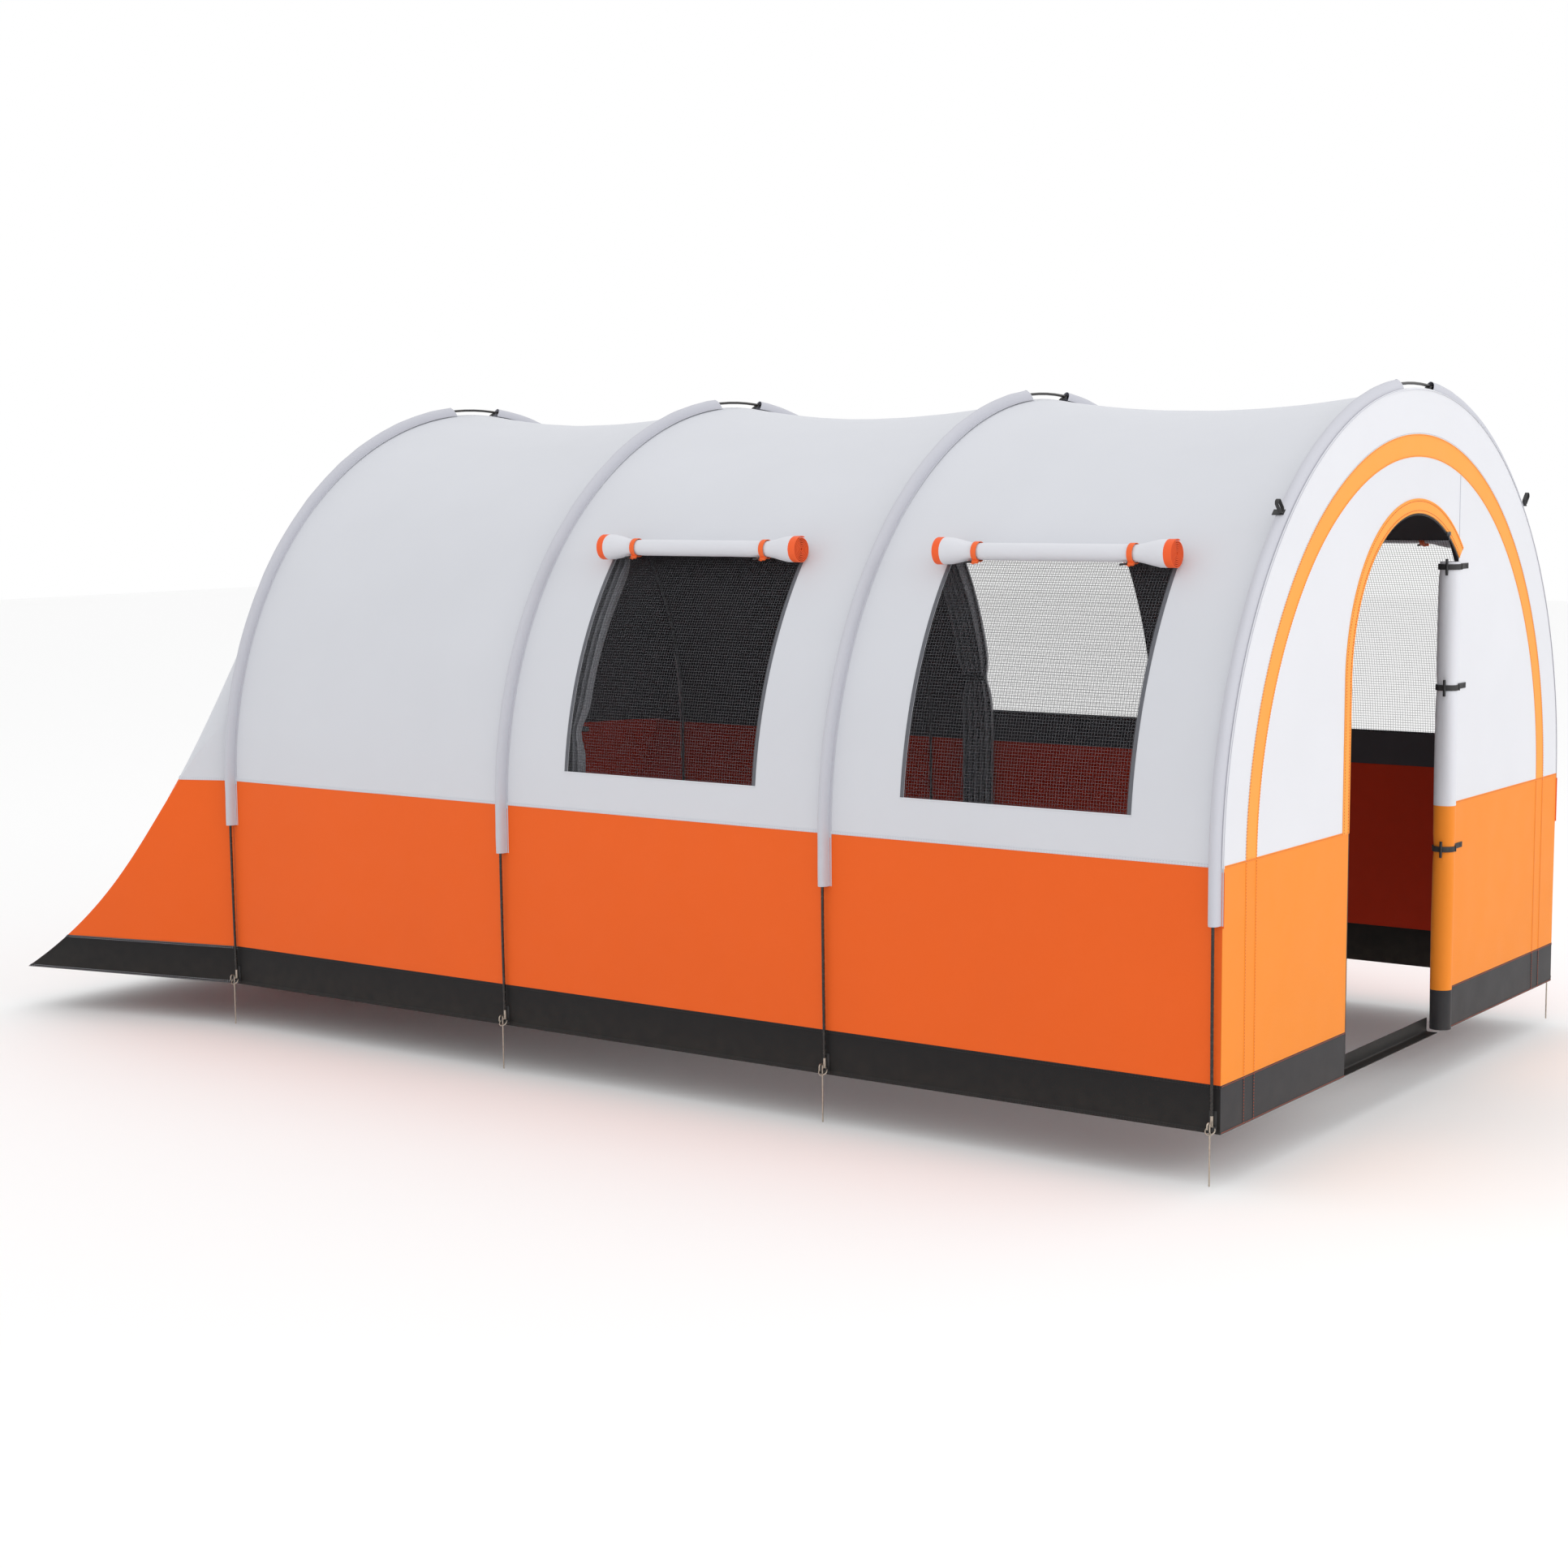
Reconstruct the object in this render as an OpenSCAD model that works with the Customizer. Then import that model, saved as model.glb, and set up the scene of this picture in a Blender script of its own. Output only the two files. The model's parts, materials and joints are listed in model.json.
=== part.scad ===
// Tunnel tent: four pole hoops, a sloping tail, rolled-up window covers and a
// rolled-up arched door. Millimetres, +Z up, +X out of the door. The origin is on
// the ground in the middle of the doorway, and left is -Y.

/* [Tent body] */
// Outer width across the side walls
tent_w = 2500; // [2080:10:3000]
// Height of the upright side walls, up to the colour seam where the arch begins
wall_h = 700; // [600:10:840]
// Distance from one hoop to the next
hoop_pitch = 1225; // [1020:5:1470]
// Height of the charcoal skirt round the base
skirt_h = 130; // [80:5:200]
// How far the ridge sags halfway between two hoops
ridge_sag = 50; // [5:1:90]
// Thickness of the cloth
cloth_t = 2; // [1:0.5:3]
// How far the front wall stands ahead of the first hoop
front_set = 20; // [18:1:40]

/* [Tail] */
// How far the tail's ground line lies behind the last hoop
tail_l = 880; // [730:10:1060]
// How far each tail corner flares out past the side wall
tail_flare = 190; // [100:10:280]
// How far above the colour seam the tail's corner crease leaves the last hoop
crease_rise = 235; // [180:5:300]
// How far the tail's wall hollows inwards at its deepest
tail_hollow = 113; // [0:1:150]

/* [Front wall] */
// Distance from the arch's edge in to the coloured arch band
band_inset = 133; // [80:1:160]
// Width of the coloured arch band
band_w = 61; // [40:1:90]

/* [Door] */
// Full width of the doorway's arch
door_w = 920; // [760:10:1100]
// Height at which the doorway's arch begins
door_spring_h = 1130; // [940:10:1200]
// How far the hinge seam cuts into the arch's full width
hinge_inset = 130; // [100:1:160]
// Width of the piping round the doorway
piping_w = 43; // [30:1:50]
// Diameter of the rolled-up door
door_roll_d = 72; // [56:1:78]
// Height of the top of the rolled-up door
door_roll_h = 1440; // [1250:10:1440]
// Heights of the three door ties
door_tie_h = [567, 1060, 1425];

/* [Windows] */
// Width of each window
window_w = 700; // [560:10:840]
// Height of a window's sill above the colour seam
window_sill = 120; // [60:5:200]
// Angle round the hoop's arch at which a rolled cover lies
cover_angle = 38; // [34:1:42]
// Length of a rolled window cover
cover_l = 750; // [620:5:900]
// Diameter of a rolled cover along its middle
cover_d = 53; // [40:1:64]
// Diameter of the looser rolled ends of a cover
cover_end_d = 84; // [70:1:96]
// Distance of each cover tie from the middle of the roll
cover_tie_x = 245; // [180:5:260]

/* [Poles and feet] */
// Diameter of a fibreglass pole
pole_d = 8.6; // [7:0.1:11]
// Outer diameter of a pole sleeve
sleeve_d = 28; // [22:1:34]
// Height of the lower end of each pole sleeve
sleeve_end_h = 550; // [450:10:580]
// Half the gap between the two sleeve halves at the ridge
sleeve_gap = 110; // [90:5:160]
// Height at which each pole ends above its foot
pole_foot_h = 50; // [42:1:70]
// Diameter of a foot ring's centre line
ring_d = 26; // [24:1:32]
// Diameter of the foot ring's wire
ring_wire_d = 4; // [3:0.5:5]
// Diameter of a peg
peg_d = 4.5; // [3.5:0.5:5]
// Depth of a peg's tip below the ground
peg_depth = 136; // [100:1:180]

/* [Hidden] */
$fn = 64;
half_w = tent_w / 2;
door_r = door_w / 2;
hinge_y = door_r - hinge_inset;
front_x = front_set;
hoop_count = 4;
window_bays = 2;
sides = ["left", "right"];
fit_gap = 0.3;           // air between pieces that move past each other

roof_steps = 36;         // facets round the roof's arch
roof_rows = 8;           // facets along one bay
sag_start = sin(42);     // the roof sags only above this share of its height

pole_off = sleeve_d / 2 + 2;                      // pole centre outside the cloth
foot_off = 9;                                     // the same at the ground
pole_r = half_w + pole_off;                       // radius of a hoop's arch
leg_lean = pole_off - foot_off;
leg_r = (wall_h * wall_h + leg_lean * leg_lean) / (2 * leg_lean);  // bow of a leg
foot_y = half_w + foot_off;

ring_tilt = 45;
ring_r = ring_d / 2;
ring_y = foot_y + ring_r * cos(ring_tilt);
ring_z = ring_r * sin(ring_tilt) + ring_wire_d / 2 + 0.8;
ring_top = ring_z + ring_r * sin(ring_tilt) + ring_wire_d / 2;
peg_y = ring_y + 2;
peg_top = ring_top + 4;
peg_hook_r = 8;
peg_bend_over = 4;                                // how far the bend runs into the shaft

roll_r = door_roll_d / 2;
roll_x = 8;                                       // axis of the rolled door
roll_y = hinge_y - roll_r - 4;
tie_t = 2;                                        // thickness of webbing
tie_h = 17;                                       // width of the door ties

cover_off = cover_end_d / 2 + 3;                  // roll's axis outside the cloth
cover_y = (half_w + cover_off) * cos(cover_angle);
cover_z = wall_h + (half_w + cover_off) * sin(cover_angle);
window_top = wall_h + half_w * sin(cover_angle + 1);
window_bottom = wall_h + window_sill;

slider_angle = 60;                                // where the zip slider is parked
curtain_x = -hoop_pitch * 2 + 235;                // tied-back curtains, middle
curtain_w = 130;
curtain_t = 52;
curtain_top = 48;                                 // angle up the arch
curtain_inset = 12;                               // air between curtain and wall
curtain_foot_h = 15;

zip_w = 6;
zip_foot_h = 48;                                  // height at which the zip starts
slider_wall = 4;
slider_w = 10.4;
slider_l = 14;
pull_w = 7;
pull_l = 34;
pull_t = 1.6;
anchor_gap = 5;                                   // from the hinge seam to a tie's patch
anchor_l = 70;
toggle_l = 50;
toggle_r = 4;
roll_foot_h = 6;
threshold_h = 45;
threshold_t = 4;
threshold_lip_x = -17;
threshold_tuck = 30;                              // how far it runs behind the left wall
threshold_clear = 10;                             // air between its end and the rolled door
cover_cuff_l = 34;                                // coloured end of a rolled cover
cover_flare_l = 120;                              // length over which its end loosens
cover_tie_w = 18;
knot_l = 28;
knot_d = 7;
window_tape_w = 12;
tape_t = 2;
tape_lift = 0.2;                                  // air between a sewn-on tape and the cloth
tail_spread = 0.6;                                // the tail fans out fastest near the hoop
tail_start = 0.04;                                // share over which the fan begins
hollow_peak = 27 / 4;                             // makes v * v * (1 - v) peak at 1

// ---- places and small helpers ----

function hoop_x(i) = -(i - 1) * hoop_pitch;
function bay_x(i) = -(i - 0.5) * hoop_pitch;
function side_sign(s) = s == "left" ? -1 : 1;

// Puts a shape that is drawn for the right side on side s.
module on_side(s) {
    if (s == "left") mirror([0, 1, 0]) children();
    else children();
}

// Stands a drawing up across the tent: its x runs along Y and its y along Z.
module across(x, t) {
    translate([x, 0, 0]) rotate([90, 0, 90]) linear_extrude(t) children();
}

// Sweeps a section drawn round the hoop's line from angle a0 to a1 of the arch.
module along_arch(a0, a1) {
    rotate([90, 0, 90])
        translate([0, wall_h, 0])
            rotate([0, 0, a0])
                rotate_extrude(angle = a1 - a0, $fn = 180)
                    translate([pole_r, 0]) children();
}

// Sweeps a section down one bowed leg, from the arch to height z.
module along_leg(z) {
    a = asin((wall_h - z) / leg_r);
    rotate([90, 0, 90])
        translate([pole_r - leg_r, wall_h, 0])
            rotate([0, 0, -a])
                rotate_extrude(angle = a, $fn = 180)
                    translate([leg_r, 0]) children();
}

// ---- curved cloth ----

// Point of the roof: share u along the bay, angle a round the arch, t inside the cloth.
function roof_fall(u, a) =
    let (h = max(0, (sin(a) - sag_start) / (1 - sag_start)))
    ridge_sag * 4 * u * (1 - u) * h * h * (3 - 2 * h);
function roof_point(x, u, a, t) =
    let (r = half_w - roof_fall(u, a) - t)
    [x, -r * cos(a), wall_h + r * sin(a)];

// Closed sheet between an outer and an inner grid of points with the same rows.
module sheet(outer, inner) {
    rows = len(outer);
    cols = len(outer[0]);
    n = rows * cols;
    points = concat([for (row = outer) each row], [for (row = inner) each row]);
    function at(r, c) = r * cols + c;
    faces = concat(
        [for (r = [0:rows - 2], c = [0:cols - 2]) each [
            [at(r, c), at(r, c + 1), at(r + 1, c + 1)],
            [at(r, c), at(r + 1, c + 1), at(r + 1, c)],
            [n + at(r, c), n + at(r + 1, c + 1), n + at(r, c + 1)],
            [n + at(r, c), n + at(r + 1, c), n + at(r + 1, c + 1)]]],
        [for (r = [0:rows - 2]) each [
            [at(r, 0), at(r + 1, 0), n + at(r + 1, 0)],
            [at(r, 0), n + at(r + 1, 0), n + at(r, 0)],
            [at(r, cols - 1), n + at(r, cols - 1), n + at(r + 1, cols - 1)],
            [at(r, cols - 1), n + at(r + 1, cols - 1), at(r + 1, cols - 1)]]],
        [for (c = [0:cols - 2]) each [
            [at(0, c), n + at(0, c), n + at(0, c + 1)],
            [at(0, c), n + at(0, c + 1), at(0, c + 1)],
            [at(rows - 1, c), at(rows - 1, c + 1), n + at(rows - 1, c + 1)],
            [at(rows - 1, c), n + at(rows - 1, c + 1), n + at(rows - 1, c)]]]);
    polyhedron(points = points, faces = faces, convexity = 6);
}

// Block that passes through one side wall where a window is.
module window_block(s, i, grow) {
    on_side(s)
        translate([bay_x(i) - window_w / 2 - grow, half_w * 0.5, window_bottom - grow])
            cube([window_w + 2 * grow, half_w, window_top - window_bottom + 2 * grow]);
}

// Grey cloth over one bay. The first bay also reaches forward to the front wall.
module roof_bay(i) {
    rows = [for (k = [0:roof_rows]) k / roof_rows];
    front = i == 1 ? [[front_x - cloth_t, 0]] : [];
    stations = concat(front, [for (u = rows) [hoop_x(i) - u * hoop_pitch, u]]);
    angles = [for (k = [0:roof_steps]) k * 180 / roof_steps];
    color("gainsboro") difference() {
        sheet([for (st = stations) [for (a = angles) roof_point(st[0], st[1], a, 0)]],
              [for (st = stations) [for (a = angles) roof_point(st[0], st[1], a, cloth_t)]]);
        if (i <= window_bays) for (s = sides) window_block(s, i, 0);
    }
}

module side_band(s) {
    color("orangered") on_side(s)
        translate([hoop_x(hoop_count), half_w - cloth_t, skirt_h])
            cube([front_x - cloth_t - hoop_x(hoop_count), cloth_t, wall_h - skirt_h]);
}

module ground_skirt(s) {
    color("dimgray") on_side(s)
        translate([hoop_x(hoop_count), half_w - cloth_t, 0])
            cube([front_x - cloth_t - hoop_x(hoop_count), cloth_t, skirt_h]);
}

// ---- tail ----

crease_angle = asin(crease_rise / half_w);
hem_angle = crease_angle * 0.7;      // lowest arch angle from which the tail fans out
corner_y = half_w + tail_flare;
tail_step = 0.01;                    // share of a column used to find the surface's normal

// The tail fans from the last hoop down to its ground line. Each column is
// [angle on the arch, x behind the hoop on the ground, y on the ground], left to right.
side_columns = [for (k = [0:3]) let (f = k / 4)
    [hem_angle + f * (crease_angle - hem_angle), f * tail_l, half_w + f * tail_flare]];
wall_columns = [for (k = [0:24]) let (f = 1 - k / 12)
    [90 - f * (90 - crease_angle), tail_l, -corner_y * f]];
tail_columns = concat(
    [for (c = side_columns) [c[0], c[1], -c[2]]],
    wall_columns,
    [for (k = [3:-1:0]) let (c = side_columns[k]) [180 - c[0], c[1], c[2]]]);
last_column = len(tail_columns) - 1;

// Point of column c at share v of the way down from the hoop to the ground.
function tail_point(c, v) =
    let (col = tail_columns[c],
         y = -half_w * cos(col[0]),
         z = wall_h + half_w * sin(col[0]),
         hollow = tail_hollow * hollow_peak * v * v * (1 - v))
    [hoop_x(hoop_count) - col[1] * v + hollow * col[1] / tail_l,
     y + (col[2] - y) * pow(v, tail_spread) * (1 - exp(-v / tail_start)),
     z * (1 - v)];

// Share v at which column c passes height z.
function tail_share(c, z) = 1 - z / (wall_h + half_w * sin(tail_columns[c][0]));

function unit(v) = v / norm(v);

// Inner side of the tail's cloth. Its edges stay in the planes of the hoop and the ground.
function tail_inner(c, v) =
    let (p = tail_point(c, v),
         down = tail_point(c, min(v + tail_step, 1)) - tail_point(c, max(v - tail_step, 0)),
         side = tail_point(min(c + 1, last_column), v) - tail_point(max(c - 1, 0), v),
         n = cross(side, down),
         in = v <= 0 ? unit([0, p[1], p[2] - wall_h])
            : c == 0 || c == last_column ? unit([0, n[1], n[2]])
            : v >= 1 ? unit([n[0], n[1], 0]) : unit(n))
    p - in * cloth_t;

// Cloth of the tail between two heights, with that many rows of facets.
module tail_cloth(high, low, rows) {
    function share(c, k) =
        let (v0 = high > wall_h ? 0 : tail_share(c, high), v1 = tail_share(c, low))
        v0 + (v1 - v0) * k / rows;
    sheet([for (k = [0:rows]) [for (c = [0:last_column]) tail_point(c, share(c, k))]],
          [for (k = [0:rows]) [for (c = [0:last_column]) tail_inner(c, share(c, k))]]);
}

module tail_upper() { color("gainsboro") tail_cloth(wall_h + half_w, wall_h, 9); }
module tail_lower() { color("orangered") tail_cloth(wall_h, skirt_h, 6); }
module tail_skirt() { color("dimgray") tail_cloth(skirt_h, 0, 2); }

// ---- front wall ----

// Everything above the colour seam inside radius r.
module upper_disc(r) {
    intersection() {
        translate([0, wall_h]) circle(r, $fn = 180);
        translate([-half_w, wall_h]) square([tent_w, half_w]);
    }
}

// The doorway: arch, straight left edge and straight hinge edge.
module door_outline(grow) {
    intersection() {
        union() {
            translate([0, door_spring_h]) circle(door_r + grow, $fn = 128);
            translate([-door_r - grow, -1])
                square([door_w + 2 * grow, door_spring_h + 1]);
        }
        translate([-door_w, -1]) square([door_w + hinge_y, door_spring_h + door_w]);
    }
}

module front_plate(x, t) { across(x, t) children(); }

module front_edge_strip() {
    color("whitesmoke") front_plate(front_x - cloth_t, cloth_t) difference() {
        upper_disc(half_w);
        upper_disc(half_w - band_inset);
    }
}

module front_arch_band() {
    color("orange") front_plate(front_x - cloth_t, cloth_t) difference() {
        upper_disc(half_w - band_inset);
        upper_disc(half_w - band_inset - band_w);
    }
}

module front_upper_wall() {
    color("whitesmoke") front_plate(front_x - cloth_t, cloth_t) difference() {
        upper_disc(half_w - band_inset - band_w);
        door_outline(0);
    }
}

// Panel of the front wall between the doorway and the corner, z0 to z1.
module front_panel(s, z0, z1) {
    y0 = s == "left" ? -half_w : hinge_y;
    y1 = s == "left" ? -door_r : half_w;
    front_plate(front_x - cloth_t, cloth_t)
        translate([y0, z0]) square([y1 - y0, z1 - z0]);
}

module front_wall(s) { color("darkorange") front_panel(s, skirt_h, wall_h); }
module front_skirt(s) { color("dimgray") front_panel(s, 0, skirt_h); }

// Folded tape laid on the wall round the arch and down the left edge.
module door_piping() {
    color("orange") front_plate(front_x, cloth_t) difference() {
        door_outline(piping_w);
        door_outline(0);
        translate([-door_w, -2]) square([2 * door_w, wall_h + 2]);
    }
}

// Webbing strip across the doorway on the ground, with an upright lip.
module door_threshold() {
    y0 = -door_r - threshold_tuck;
    y1 = roll_y - roll_r - threshold_clear;
    color("dimgray") {
        translate([-front_x, y0, 0]) cube([2 * front_x - cloth_t, y1 - y0, threshold_t]);
        translate([threshold_lip_x, y0, threshold_t])
            cube([tie_t, y1 - y0, threshold_h - threshold_t]);
    }
}

// Zip chain along the free edge of the doorway.
module door_zip_chain() {
    color("black") front_plate(front_x - cloth_t, cloth_t) difference() {
        door_outline(0);
        translate([0, door_spring_h]) circle(door_r - zip_w, $fn = 128);
        translate([-door_r + zip_w, -2]) square([door_w + hinge_y, door_spring_h + 2]);
        translate([-door_w, -2]) square([2 * door_w, zip_foot_h + 2]);
        translate([0, -2]) square([door_w, door_spring_h + 2]);
    }
}

// Webbing patches on the wall, beside the hinge seam, that hold the door ties.
module door_tie_anchors() {
    color("black") for (z = door_tie_h)
        translate([front_x, hinge_y + anchor_gap, z - tie_h / 2]) cube([tie_t, anchor_l, tie_h]);
}

// ---- rolled door, on the hinge seam ----

module door_roll() {
    color("whitesmoke") translate([roll_x, roll_y, roll_foot_h])
        cylinder(h = door_roll_h - roll_foot_h, r = roll_r);
}

module door_ties() {
    color("black") for (z = door_tie_h) {
        translate([roll_x, roll_y, z - tie_h / 2]) difference() {
            cylinder(h = tie_h, r = roll_r + tie_t);
            translate([0, 0, -1]) cylinder(h = tie_h + 2, r = roll_r);
        }
        translate([roll_x, roll_y - roll_r - tie_t - toggle_r, z - toggle_l / 2])
            cylinder(h = toggle_l, r = toggle_r);
    }
}

// Slider that wraps the zip chain and carries its pull along the arch.
module zip_slider() {
    chain_r = door_r - zip_w;
    color("silver")
        translate([0, 0, door_spring_h]) rotate([slider_angle, 0, 0]) {
            difference() {
                translate([front_x - cloth_t - slider_wall, chain_r - slider_w / 2, -slider_l / 2])
                    cube([cloth_t + 2 * slider_wall, slider_w, slider_l]);
                translate([front_x - cloth_t - fit_gap, chain_r - fit_gap, -slider_l])
                    cube([cloth_t + 2 * fit_gap, slider_w, 2 * slider_l]);
            }
            translate([front_x + slider_wall, chain_r - pull_w / 2, -pull_l])
                cube([pull_t, pull_w, pull_l]);
        }
}

// ---- poles, sleeves and feet ----

module hoop_pole(i) {
    color("black") translate([hoop_x(i), 0, 0]) difference() {
        union() {
            along_arch(0, 180) circle(d = pole_d);
            for (s = sides) on_side(s) along_leg(pole_foot_h) circle(d = pole_d);
        }
        for (s = sides) on_side(s)
            translate([0, foot_y, pole_foot_h - 5]) cylinder(h = 30, d = tip_pin_d + 0.2);
    }
}

module sleeve_section() {
    difference() {
        circle(d = sleeve_d);
        circle(d = sleeve_d - 2 * cloth_t);
    }
}

// Sleeve of one hoop: a left and a right half, open at the ridge and at the bottom. The
// straight lower end is a piece of its own, sewn on level with the wall's colour seam.
module pole_sleeve(i) {
    top = 90 - asin(sleeve_gap / pole_r);
    color("lightgray") translate([hoop_x(i), 0, 0])
        for (s = sides) on_side(s) {
            along_arch(0, top) sleeve_section();
            translate([0, pole_r, sleeve_end_h])
                linear_extrude(wall_h - fit_gap - sleeve_end_h) sleeve_section();
        }
}

// Backing patches between the side wall and the lower end of each sleeve.
module sleeve_patches() {
    color("orange") for (s = sides, i = [1:hoop_count]) on_side(s)
        translate([hoop_x(i) - 12, half_w + 0.2, sleeve_end_h])
            cube([12 + front_x, 1.4, wall_h - sleeve_end_h]);
}

// Webbing tabs at the mouth of the right half of each sleeve, beside the ridge.
module sleeve_end_tabs() {
    a = 90 - asin(sleeve_gap / pole_r);
    color("black") for (i = [1:hoop_count])
        translate([hoop_x(i), 0, wall_h]) rotate([a, 0, 0])
            translate([-9, half_w + 1.5, 1]) cube([18, 8, 22]);
}

loop_angle = 45;
loop_l = 48;
loop_w = 20;
// Webbing loops for guy lines on the first hoop, with a tail across the sleeve.
module guy_loops() {
    r0 = half_w + pole_off + sleeve_d / 2 + 0.4;
    color("black") for (s = sides) on_side(s)
        translate([0, 0, wall_h]) rotate([loop_angle, 0, 0]) {
            translate([-13, r0, -loop_w / 2]) cube([27, tie_t, loop_w]);
            translate([5, r0 + loop_l / 2, 0]) rotate([0, 90, 0]) difference() {
                loop_body(loop_l, loop_w + 4, 9);
                translate([0, 0, -1]) loop_body(loop_l - 2 * tie_t, loop_w + 4 - 2 * tie_t, 11);
            }
        }
}

// Flat ring with round ends: length l along y, width w, thickness t along z.
module loop_body(l, w, t) {
    linear_extrude(t) {
        square([w, l - w], center = true);
        for (k = [-1, 1]) translate([0, k * (l - w) / 2]) circle(d = w);
    }
}

tip_pin_d = 4.8;
// Steel tips: a ferrule between the ring and the pole, and a pin inside the pole.
module pole_tips() {
    color("silver") for (s = sides, i = [1:hoop_count]) on_side(s)
        translate([hoop_x(i), foot_y, 0]) {
            translate([0, 0, ring_top]) cylinder(h = pole_foot_h - fit_gap - ring_top, d = pole_d);
            translate([0, 0, pole_foot_h - 1]) cylinder(h = 23, d = tip_pin_d);
        }
}

module foot_ring(wire) {
    rotate([-ring_tilt, 0, 0]) rotate_extrude() translate([ring_r, 0]) circle(d = wire);
}

module foot_rings() {
    color("silver") for (s = sides, i = [1:hoop_count]) on_side(s)
        translate([hoop_x(i), ring_y, ring_z]) foot_ring(ring_wire_d);
}

// Webbing on the skirt with two ears that hold the ring on both sides of the tip. On the
// last hoop its back is cut to stay clear of the flaring tail.
strap_w = 22;
strap_t = 2;
strap_h = 55;
ear_t = 5;
ear_h = 14;
module foot_strap(flare) {
    y0 = half_w + fit_gap;
    difference() {
        union() {
            translate([-strap_w / 2, y0, 5]) cube([strap_w, strap_t, strap_h]);
            for (k = [-1, 1]) translate([k * (strap_w - ear_t) / 2 - ear_t / 2, y0 + 1.5, ring_z - 3])
                cube([ear_t, foot_off + 5 - strap_t, ear_h]);
        }
        translate([0, ring_y, ring_z]) foot_ring(ring_wire_d + 0.4);
        translate([0, half_w, 0]) rotate([0, 0, -flare])
            translate([-strap_w, -strap_w, -1]) cube([strap_w, strap_w + fit_gap, strap_h + 10]);
    }
}

module foot_straps() {
    color("black") for (s = sides, i = [1:hoop_count]) on_side(s)
        translate([hoop_x(i), 0, 0])
            foot_strap(i == hoop_count ? atan(tail_flare / tail_l) : 0);
}

// Wire peg through the ring, with a hook bent outwards over the ring's edge.
module peg(s, i) {
    color("silver") on_side(s) translate([hoop_x(i), peg_y, 0]) {
        translate([0, 0, -peg_depth]) cylinder(h = peg_depth + peg_top, d = peg_d);
        translate([0, peg_hook_r, peg_top]) rotate([90, 0, 90]) rotate([0, 0, -peg_bend_over])
            rotate_extrude(angle = 180 + 2 * peg_bend_over)
                translate([peg_hook_r, 0]) circle(d = peg_d);
        translate([0, 2 * peg_hook_r, peg_top - 9]) cylinder(h = 9, d = peg_d);
    }
}

// ---- windows ----

// Part of a thin shell over the side wall, from t_in to t_out outside the cloth's face.
module wall_shell(s, i, t_in, t_out, grow) {
    intersection() {
        translate([hoop_x(i + 1), 0, wall_h]) rotate([90, 0, 90])
            linear_extrude(hoop_pitch) difference() {
                circle(half_w + t_out, $fn = 180);
                circle(half_w + t_in, $fn = 180);
            }
        window_block(s, i, grow);
    }
}

module window_mesh(s, i) {
    color("darkslategray") wall_shell(s, i, -cloth_t - 1, -2, 0);
}

// Dark tape round the sides and the sill of every window.
module window_piping() {
    color("slategray") for (s = sides, i = [1:window_bays]) difference() {
        wall_shell(s, i, tape_lift, tape_lift + tape_t, window_tape_w);
        window_block(s, i, 0);
        on_side(s) translate([bay_x(i) - window_w, 0, window_top])
            cube([2 * window_w, tent_w, half_w]);
    }
}

// Rolled window cover: a tight middle and looser flared ends, turned about X.
module window_cover(s, i) {
    end_r = cover_end_d / 2;
    mid_r = cover_d / 2;
    h = cover_l / 2;
    cuff = h - cover_cuff_l;
    waist = h - cover_flare_l;
    color("whitesmoke") on_side(s) translate([bay_x(i), cover_y, cover_z])
        rotate([0, 90, 0]) rotate_extrude()
            polygon([[0, -h], [end_r, -h], [end_r, -cuff], [mid_r, -waist],
                     [mid_r, waist], [end_r, cuff], [end_r, h], [0, h]]);
}

// Orange ties round a rolled cover, each with a small toggle.
module cover_ties(s, i) {
    mid_r = cover_d / 2;
    color("orangered") on_side(s) for (k = [-1, 1])
        translate([bay_x(i) + k * cover_tie_x - cover_tie_w / 2, cover_y, cover_z]) {
            rotate([0, 90, 0]) difference() {
                cylinder(h = cover_tie_w, r = mid_r + tie_t);
                translate([0, 0, -1]) cylinder(h = cover_tie_w + 2, r = mid_r);
            }
            rotate([-60, 0, 0])
                translate([(cover_tie_w - knot_l) / 2, mid_r + tie_t + knot_d / 2, 0])
                    rotate([0, 90, 0]) cylinder(h = knot_l, d = knot_d);
        }
}

// Curtains tied back inside the second bay, one down each wall.
module partition_curtains() {
    off = half_w - cloth_t - curtain_inset - curtain_t / 2;
    color("gray") for (s = sides) on_side(s) translate([curtain_x, 0, 0]) {
        rotate([90, 0, 90]) translate([0, wall_h, 0])
            rotate_extrude(angle = curtain_top, $fn = 180)
                translate([off, 0]) curtain_section();
        translate([0, off, curtain_foot_h])
            linear_extrude(wall_h - curtain_foot_h) rotate(90) curtain_section();
    }
}

module curtain_section() {
    square([curtain_t, curtain_w - curtain_t], center = true);
    for (k = [-1, 1]) translate([0, k * (curtain_w - curtain_t) / 2]) circle(d = curtain_t);
}

// ---- the assembly ----

for (i = [1:3]) roof_bay(i);
for (s = sides) side_band(s);
for (s = sides) ground_skirt(s);
tail_upper();
tail_lower();
tail_skirt();
front_edge_strip();
front_arch_band();
front_upper_wall();
for (s = sides) front_wall(s);
for (s = sides) front_skirt(s);
door_piping();
door_threshold();
door_zip_chain();
door_tie_anchors();
for (i = [1:hoop_count]) hoop_pole(i);
for (i = [1:hoop_count]) pole_sleeve(i);
sleeve_patches();
sleeve_end_tabs();
guy_loops();
pole_tips();
foot_rings();
foot_straps();
for (s = sides, i = [1:window_bays])
    window_mesh(s, i);
window_piping();
partition_curtains();
for (s = sides, i = [1:window_bays])
    window_cover(s, i);
for (s = sides, i = [1:window_bays])
    cover_ties(s, i);
door_roll();
door_ties();
zip_slider();
for (s = sides, i = [1:hoop_count])
    peg(s, i);
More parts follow.
